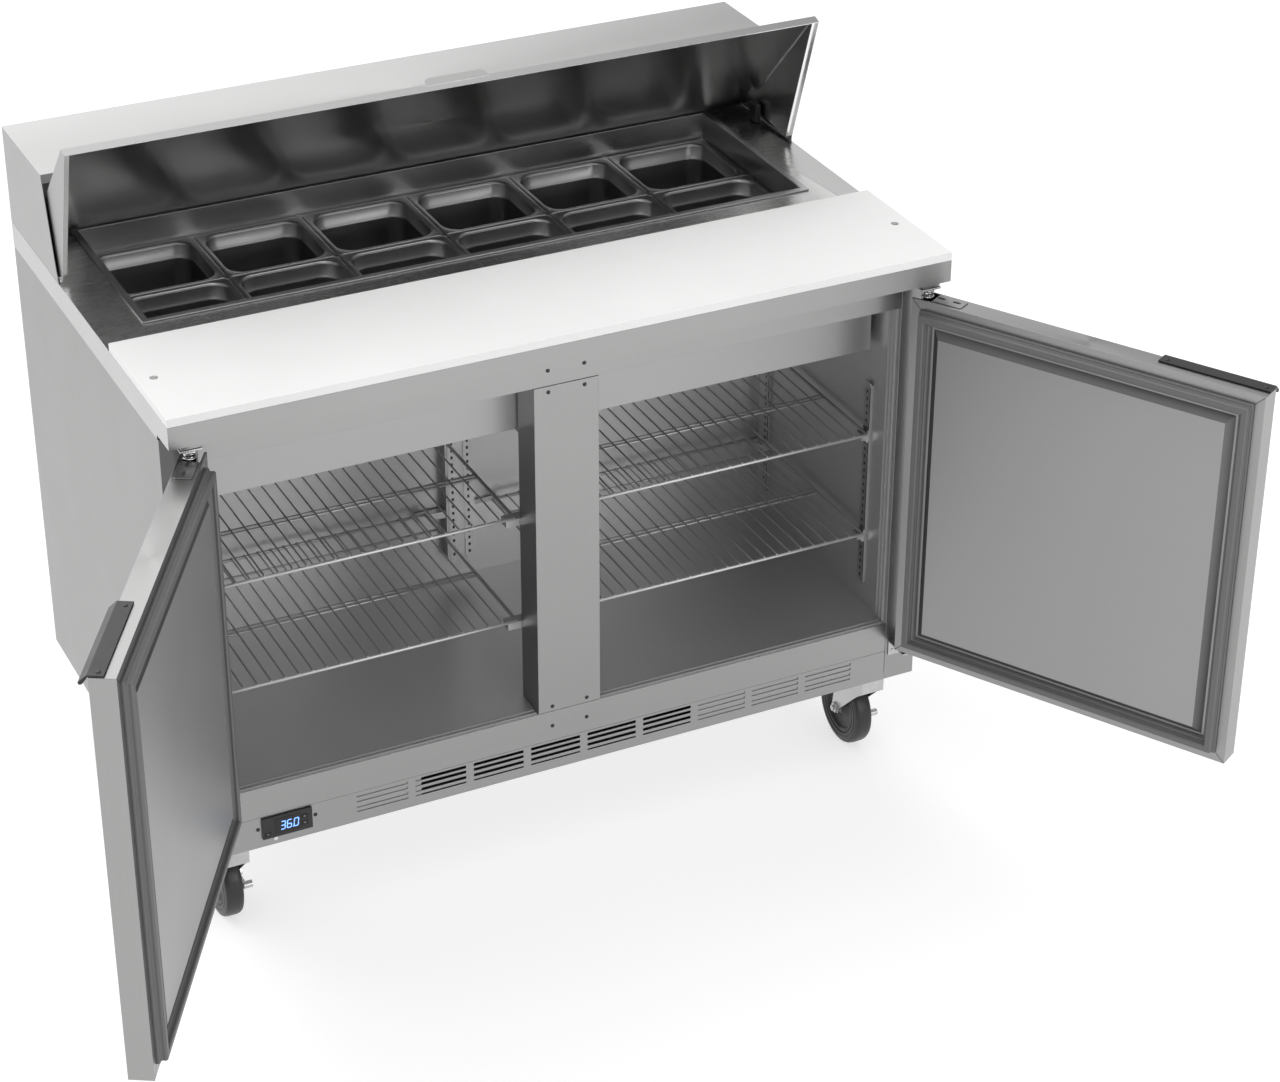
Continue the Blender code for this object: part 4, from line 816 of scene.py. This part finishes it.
def rectangle_sweep(bm, side, outline):
    """Sweep an outline of (inset, height) round the door's rim with mitred corners."""
    corners = []
    for at_hinge, at_top in ((True, False), (False, False), (False, True), (True, True)):
        ring = []
        for inset, height in outline:
            x = door_x(side, inset if at_hinge else DOOR_WIDTH - inset)
            z = door_z[1] - inset if at_top else door_z[0] + inset
            ring.append(bm.verts.new((x, height, z)))
        corners.append(ring)
    for i in range(4):
        a, b = corners[i], corners[(i + 1) % 4]
        for k in range(len(outline)):
            m = (k + 1) % len(outline)
            bm.faces.new((a[k], a[m], b[m], b[k]))


GASKET_OUTLINE = [
    (0.0, 0.0003), (0.0, 0.0030), (0.0012, 0.0056), (0.0026, 0.0050), (0.0036, 0.0084),
    (0.0032, 0.0120), (0.0046, 0.0151), (0.0130, 0.0151), (0.0146, 0.0130), (0.0140, 0.0098),
    (0.0154, 0.0066), (0.0176, 0.0078), (0.0196, 0.0062), (0.0210, 0.0028), (0.0210, 0.0003),
]

for side, tag in SIDES:
    placed = door_frame(side, tag)
    body = "door_" + tag
    seal = bmesh.new()
    rectangle_sweep(seal, side, [(GASKET_INSET + inset, DOOR_INNER + height)
                                 for inset, height in GASKET_OUTLINE])
    piece("fine_door_%s_gasket" % tag, seal, SEAL_GREY, body, bevel=0.0007,
          replaces=("door_%s_gasket" % tag,), matrix=placed, smooth=20.0)

    # hairline mitres at the corners of the folded rim
    mitres = bmesh.new()
    for at_hinge in (True, False):
        for at_top in (True, False):
            start, end = MITRE_SPAN
            points = []
            for inset, shift in ((start, MITRE_HALF), (end, MITRE_HALF), (end, -MITRE_HALF),
                                 (start, -MITRE_HALF)):
                s = inset + shift
                x = door_x(side, s if at_hinge else DOOR_WIDTH - s)
                z = door_z[1] - inset + shift if at_top else door_z[0] + inset - shift
                points.append((x, z))
            prism(mitres, points, DOOR_INNER - 0.0003, DOOR_INNER + 0.00006, "XZ")
    piece("door_%s_mitres" % tag, mitres, SHADE_AND_JOINT_BLACK, body, matrix=placed)

    # handle screws
    handle_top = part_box("door_%s_handle" % tag)[1].z
    heads = bmesh.new()
    for s in (0.4063, 0.5596):
        screw_head(heads, (door_x(side, s), DOOR_INNER - 0.0240, handle_top), "Z", 0.0032, 0.0012)
    piece("door_%s_handle_screws" % tag, heads, BLACK_SCREW, body, matrix=placed)

    # hinge plate on the door's top edge, with two slots drawn as black insets: painted shade in the holes
    plate = bmesh.new()
    z = door_z[1]
    x0, x1 = door_x(side, 2 * DOOR_MARGIN + 0.0012), door_x(side, DOOR_MARGIN + 0.0640)
    prism(plate, [(x0, -0.0105), (x1 + side * 0.003, -0.0105), (x1, -0.0075), (x1, 0.0125),
                  (x1 + side * 0.003, 0.0155), (x0, 0.0155)], z + 0.0001, z + 0.0014, "XY")
    piece("door_%s_hinge_plate" % tag, plate, STEEL_UPRIGHT, body, bevel=0.0003, matrix=placed)
    slots = bmesh.new()
    for s in (0.0240 + DOOR_MARGIN, 0.0500 + DOOR_MARGIN):
        x = door_x(side, s)
        outline = [(x + 0.0045 * math.cos(a) + (0.0022 if math.cos(a) > 0 else -0.0022),
                    0.0015 + 0.0026 * math.sin(a))
                   for a in [2 * math.pi * k / 16 for k in range(16)]]
        prism(slots, outline, z + 0.0009, z + 0.00155, "XY")
    piece("door_%s_hinge_slot_shade" % tag, slots, SHADE_AND_JOINT_BLACK, body, matrix=placed)

    # black pocket lining under the hinge
    lining = bmesh.new()
    xa, xb = door_x(side, 0.0006), door_x(side, 2 * DOOR_MARGIN - 0.0002)
    ya, yb = DOOR_OUTER + 0.0027, DOOR_INNER - 0.0032
    foot = z - 0.026
    t = 0.0004
    hole = 0.0090
    box(lining, (xb, xb + side * t), (ya, yb), (foot + 0.0003, z - 0.0003))
    box(lining, (xa, xb), (ya, ya + t), (foot + 0.0003, z - 0.0003))
    box(lining, (xa, xb), (yb - t, yb), (foot + 0.0003, z - 0.0003))
    for strip_y in ((ya, -hole), (hole, yb)):
        box(lining, (xa, xb), strip_y, (foot + 0.0003, foot + 0.0007))
    for strip_x in ((xa, side * hole), (-side * hole, xb)):
        box(lining, strip_x, (-hole, hole), (foot + 0.0003, foot + 0.0007))
    lathe(lining, [(0.0086, foot + 0.0009), (0.0092, foot + 0.0009), (0.0092, z - 0.0042),
                   (0.0086, z - 0.0040), (0.0048, z - 0.0038), (0.0048, z - 0.0041),
                   (0.0086, z - 0.0043)], (0.0, 0.0, 0.0), "Z", 28)
    piece("door_%s_hinge_pocket" % tag, lining, BLACK_PLASTIC, body, matrix=placed)

    # top hinge: plated cartridge head and collars round the pin, under the nose
    pin = JOINTS["door_%s_hinge" % tag]["pos_m"]
    head = bmesh.new()
    lathe(head, [(0.0044, 0.8532), (0.0092, 0.8532), (0.0100, 0.8540), (0.0100, 0.8570),
                 (0.0092, 0.8578), (0.0070, 0.8582), (0.0070, 0.8596), (0.0088, 0.8600),
                 (0.0088, 0.8640), (0.0080, 0.8648), (0.0044, 0.8650)], (pin[0], pin[1], 0.0), "Z", 32)
    lathe(head, [(0.0044, 0.8656), (0.0104, 0.8656), (0.0110, 0.8662), (0.0110, 0.8680),
                 (0.0104, 0.8686), (0.0044, 0.8686)], (pin[0], pin[1], 0.0), "Z", 6)
    piece("hinge_%s_cartridge" % tag, head, CHROME, "cabinet", bevel=0.0003)
    arm = bmesh.new()
    prism(arm, [(pin[0] - 0.016, pin[1] - 0.0105), (pin[0] + 0.016, pin[1] - 0.0105),
                (pin[0] + 0.016, FACE - 0.0008), (pin[0] - 0.016, FACE - 0.0008)],
          0.8690, 0.8722, "XY")
    piece("hinge_%s_arm" % tag, arm, ZINC, "cabinet", bevel=0.0006)
    lower = bmesh.new()
    for dx in (-0.0095, 0.0095):
        screw_head(lower, (pin[0] + dx, FACE - 0.0030, 0.2140), "Y", 0.0028, -0.0010)
    piece("hinge_%s_screws" % tag, lower, ZINC, "cabinet")

# ------------------------------------------------------------------ temperature controller
low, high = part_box("controller")
panel_y = low.y
panel_x = (low.x + high.x) / 2
panel_z = (low.z + high.z) / 2
lens = bmesh.new()
prism(lens, [(panel_x - 0.0200, panel_z - 0.0135), (panel_x + 0.0215, panel_z - 0.0135),
             (panel_x + 0.0215, panel_z + 0.0135), (panel_x - 0.0200, panel_z + 0.0135)],
      panel_y - 0.0006, panel_y + 0.0002, "XZ")
piece("controller_window", lens, SCREEN_BLACK, "cabinet", bevel=0.0003)

SEGMENTS = {"3": "abgcd", "6": "afgedc", "0": "abcdef"}


def segment(bm, x0, z0, x1, z1, thick, slant):
    """One bar of a digit, pointed at both ends."""
    along = Vector((x1 - x0, z1 - z0))
    unit = along.normalized()
    normal = Vector((-unit.y, unit.x)) * thick / 2
    tip = unit * thick / 2
    a, b = Vector((x0, z0)) + unit * 0.00012, Vector((x1, z1)) - unit * 0.00012
    outline = [a, a + tip + normal, b - tip + normal, b, b - tip - normal, a + tip - normal]
    outline = [(p.x + slant * (p.y - panel_z), p.y) for p in outline]
    prism(bm, outline, panel_y - 0.00085, panel_y - 0.0005, "XZ")


digits = bmesh.new()
digit_w, digit_h, thick = 0.0066, 0.0136, 0.00155
x = panel_x - 0.0105
for character in "36.0":
    if character == ".":
        box(digits, (x - 0.0018, x - 0.0004), (panel_y - 0.00085, panel_y - 0.0005),
            (panel_z - digit_h / 2 - 0.0006, panel_z - digit_h / 2 + 0.0008))
        x += 0.0010
        continue
    z0, zm, z1 = panel_z - digit_h / 2, panel_z, panel_z + digit_h / 2
    ends = {"a": (x, z1, x + digit_w, z1), "b": (x + digit_w, z1, x + digit_w, zm),
            "c": (x + digit_w, zm, x + digit_w, z0), "d": (x, z0, x + digit_w, z0),
            "e": (x, zm, x, z0), "f": (x, z1, x, zm), "g": (x, zm, x + digit_w, zm)}
    for letter in SEGMENTS[character]:
        segment(digits, *ends[letter], thick, 0.10)
    x += digit_w + 0.0033
piece("controller_digits", digits, DIGIT_BLUE, "cabinet")

for name, mark in (("up", 1), ("down", -1), ("set", 0)):
    node = "button_" + name
    key_low, key_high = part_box(node)
    key = bmesh.new()
    box(key, (key_low.x, key_high.x), (key_low.y, key_high.y), (key_low.z, key_high.z))
    piece("fine_" + node, key, BLACK_PLASTIC, "key_" + name, bevel=0.0006, segments=3,
          replaces=(node,))
    cx, cz = (key_low.x + key_high.x) / 2, (key_low.z + key_high.z) / 2
    sign = bmesh.new()
    if mark:
        outline = [(cx - 0.0015, cz - mark * 0.0009), (cx + 0.0015, cz - mark * 0.0009),
                   (cx, cz + mark * 0.0012)]
    else:
        outline = [(cx - 0.0016, cz - 0.0004), (cx + 0.0016, cz - 0.0004), (cx + 0.0016, cz + 0.0004),
                   (cx - 0.0016, cz + 0.0004)]
    prism(sign, outline, key_low.y - 0.00006, key_low.y + 0.0002, "XZ")
    piece("mark_" + node, sign, MARK_GREY, "key_" + name)


# ------------------------------------------------------------------ casters
def caster_wheel(node, body):
    """Moulded wheel: rounded tread, stepped side rings, hub and a plated bush."""
    low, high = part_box(node)
    centre = ((low.x + high.x) / 2, (low.y + high.y) / 2, (low.z + high.z) / 2)
    r, h = (high.z - low.z) / 2, (high.x - low.x) / 2
    side_profile = [
        (0.0056, h - 0.0016), (0.0120, h - 0.0016), (0.0132, h - 0.0030), (0.0150, h - 0.0046),
        (0.0200, h - 0.0070), (0.0330, h - 0.0080), (0.0370, h - 0.0064), (0.0384, h - 0.0030),
        (0.0400, h - 0.0014), (0.0424, h - 0.0012), (0.0432, h - 0.0026), (0.0448, h - 0.0026),
        (0.0458, h - 0.0006), (0.0500, h), (0.0512, h - 0.0012), (0.0526, h - 0.0012), (0.0538, h - 0.0001),
        (r - 0.0060, h - 0.0002), (r - 0.0026, h - 0.0016), (r - 0.0008, h - 0.0044), (r, h - 0.0090),
    ]
    outline = side_profile + [(radius, -height) for radius, height in reversed(side_profile)]
    bm = bmesh.new()
    lathe(bm, outline, centre, "X", 72)
    piece("fine_" + node, bm, BLACK_RUBBER, body, replaces=(node,), smooth=28.0)
    bush = bmesh.new()
    for sign in (-1, 1):
        lathe(bush, [(0.0056, sign * (h - 0.0014)), (0.0092, sign * (h - 0.0014)),
                     (0.0092, sign * (h - 0.0004)), (0.0086, sign * h), (0.0056, sign * h)], centre, "X", 32)
    piece(node + "_bush", bush, ZINC, body)


for row in ("front", "rear"):
    for side, tag in SIDES:
        name = "caster_%s_%s" % (row, tag)
        caster_wheel(name + "_wheel", name + "_roller")
        refined(name + "_fork", ZINC, 0.0007, 3)
        if row == "front":
            refined(name + "_brake_lever", ZINC, 0.0008, 3)
        pin = JOINTS[name + "_swivel_turn"]["pos_m"]
        pad_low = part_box("bottom_pan")[0].z
        bolts = bmesh.new()
        for dx in (-0.033, 0.033):
            for dy in (-0.025, 0.025):
                # countersunk, because the fork's top turns 0.3 mm below the pad
                lathe(bolts, [(0.0, -0.00015), (0.0062, -0.00015), (0.0064, -0.00008), (0.0064, 0.0),
                              (0.0, 0.0)], (pin[0] + dx, pin[1] + dy, pad_low), "Z", 24)
        piece(name + "_bolts", bolts, ZINC, "cabinet")


# ------------------------------------------------------------------ floor, lights and camera
floor = bmesh.new()
bmesh.ops.create_grid(floor, x_segments=1, y_segments=1, size=14.0)
floor_mesh = bpy.data.meshes.new("floor")
floor.to_mesh(floor_mesh)
floor.free()
floor_obj = bpy.data.objects.new("floor", floor_mesh)
floor_obj.location = (0.0, 0.0, CAD_BOX[0][2])
bpy.context.scene.collection.objects.link(floor_obj)
floor_look = Look("floor_paint", specular=0.1)
floor_look.colour(floor_look.shade(floor_look.noise(1.5), (0.50, 0.50, 0.50), (0.52, 0.52, 0.52)))
floor_look.shader.inputs["Roughness"].default_value = 0.8
floor_look.shader.inputs["Emission Color"].default_value = (1.0, 1.0, 1.0, 1.0)
floor_look.shader.inputs["Emission Strength"].default_value = 0.62
floor_mesh.materials.append(floor_look.mat)

world = bpy.data.worlds.new("studio")
bpy.context.scene.world = world
world.use_nodes = True
sky = world.node_tree
background = sky.nodes["Background"]
where = sky.nodes.new("ShaderNodeTexCoord")
split = sky.nodes.new("ShaderNodeSeparateXYZ")
sky.links.new(where.outputs["Generated"], split.inputs["Vector"])


def sky_ramp(socket, stops):
    """Radiance over a 0..1 input, given as (position, grey) stops."""
    node = sky.nodes.new("ShaderNodeValToRGB")
    sky.links.new(socket, node.inputs["Fac"])
    elements = node.color_ramp.elements
    while len(elements) < len(stops):
        elements.new(0.5)
    for element, (position, value) in zip(elements, stops):
        element.position = position
        element.color = (value, value, value, 1.0)
    node.color_ramp.interpolation = "EASE"
    return node.outputs["Color"]


def sky_math(operation, a, b):
    node = sky.nodes.new("ShaderNodeMath")
    node.operation = operation
    for index, value in enumerate((a, b)):
        if isinstance(value, float):
            node.inputs[index].default_value = value
        else:
            sky.links.new(value, node.inputs[index])
    return node.outputs["Value"]


lobe = sky.nodes.new("ShaderNodeVectorMath")
lobe.operation = "DOT_PRODUCT"
sky.links.new(where.outputs["Generated"], lobe.inputs[0])
lobe.inputs[1].default_value = Vector((-0.28, 0.78, 0.56)).normalized()
height = sky_ramp(split.outputs["Z"], ((0.0, 0.26), (0.45, 0.42), (1.0, 0.54)))
glow = sky_ramp(lobe.outputs["Value"], ((0.56, 0.0), (0.97, 1.0)))
radiance = sky_math("ADD", height, sky_math("MULTIPLY", glow, 1.95))
background.inputs["Color"].default_value = (1.0, 1.0, 1.0, 1.0)
sky.links.new(radiance, background.inputs["Strength"])


def softbox(name, place, target, width, height, power):
    lamp = bpy.data.lights.new(name, "AREA")
    lamp.shape = "RECTANGLE"
    lamp.size, lamp.size_y = width, height
    lamp.energy = power
    obj = bpy.data.objects.new(name, lamp)
    obj.location = place
    aim = Vector(target) - Vector(place)
    obj.rotation_euler = aim.to_track_quat("-Z", "Y").to_euler()
    bpy.context.scene.collection.objects.link(obj)
    return obj


softbox("key", (-1.6, -2.2, 4.8), (0.0, 0.0, 0.6), 3.0, 3.0, 28.0)
softbox("top", (0.2, 0.3, 5.0), (0.0, 0.0, 0.5), 4.0, 3.0, 24.0)
softbox("fill", (1.3, -3.9, 1.5), (0.0, 0.3, 0.5), 2.6, 1.6, 46.0)

CAMERA_PLACE = Vector((-1.65583, -3.57953 + NOSE, 2.8897))
CAMERA_ANGLES = (25.85, 29.77, 0.08)            # azimuth, elevation and roll, in degrees
camera_data = bpy.data.cameras.new("camera")
camera = bpy.data.objects.new("camera", camera_data)
bpy.context.scene.collection.objects.link(camera)
bpy.context.scene.camera = camera
azimuth, elevation, roll = (math.radians(angle) for angle in CAMERA_ANGLES)
forward = Vector((math.sin(azimuth) * math.cos(elevation), math.cos(azimuth) * math.cos(elevation),
                  -math.sin(elevation)))
right = Vector((math.cos(azimuth), -math.sin(azimuth), 0.0))
down = forward.cross(right)
right, down = (math.cos(roll) * right - math.sin(roll) * down,
               math.sin(roll) * right + math.cos(roll) * down)
camera.matrix_world = Matrix((
    (right.x, -down.x, -forward.x, CAMERA_PLACE.x), (right.y, -down.y, -forward.y, CAMERA_PLACE.y),
    (right.z, -down.z, -forward.z, CAMERA_PLACE.z), (0.0, 0.0, 0.0, 1.0)))
camera_data.sensor_width = 36.0
camera_data.lens = 87.76
camera_data.shift_x = 0.00803
camera_data.shift_y = -0.02323
camera_data.clip_end = 60.0
bpy.context.scene.view_settings.view_transform = "Standard"
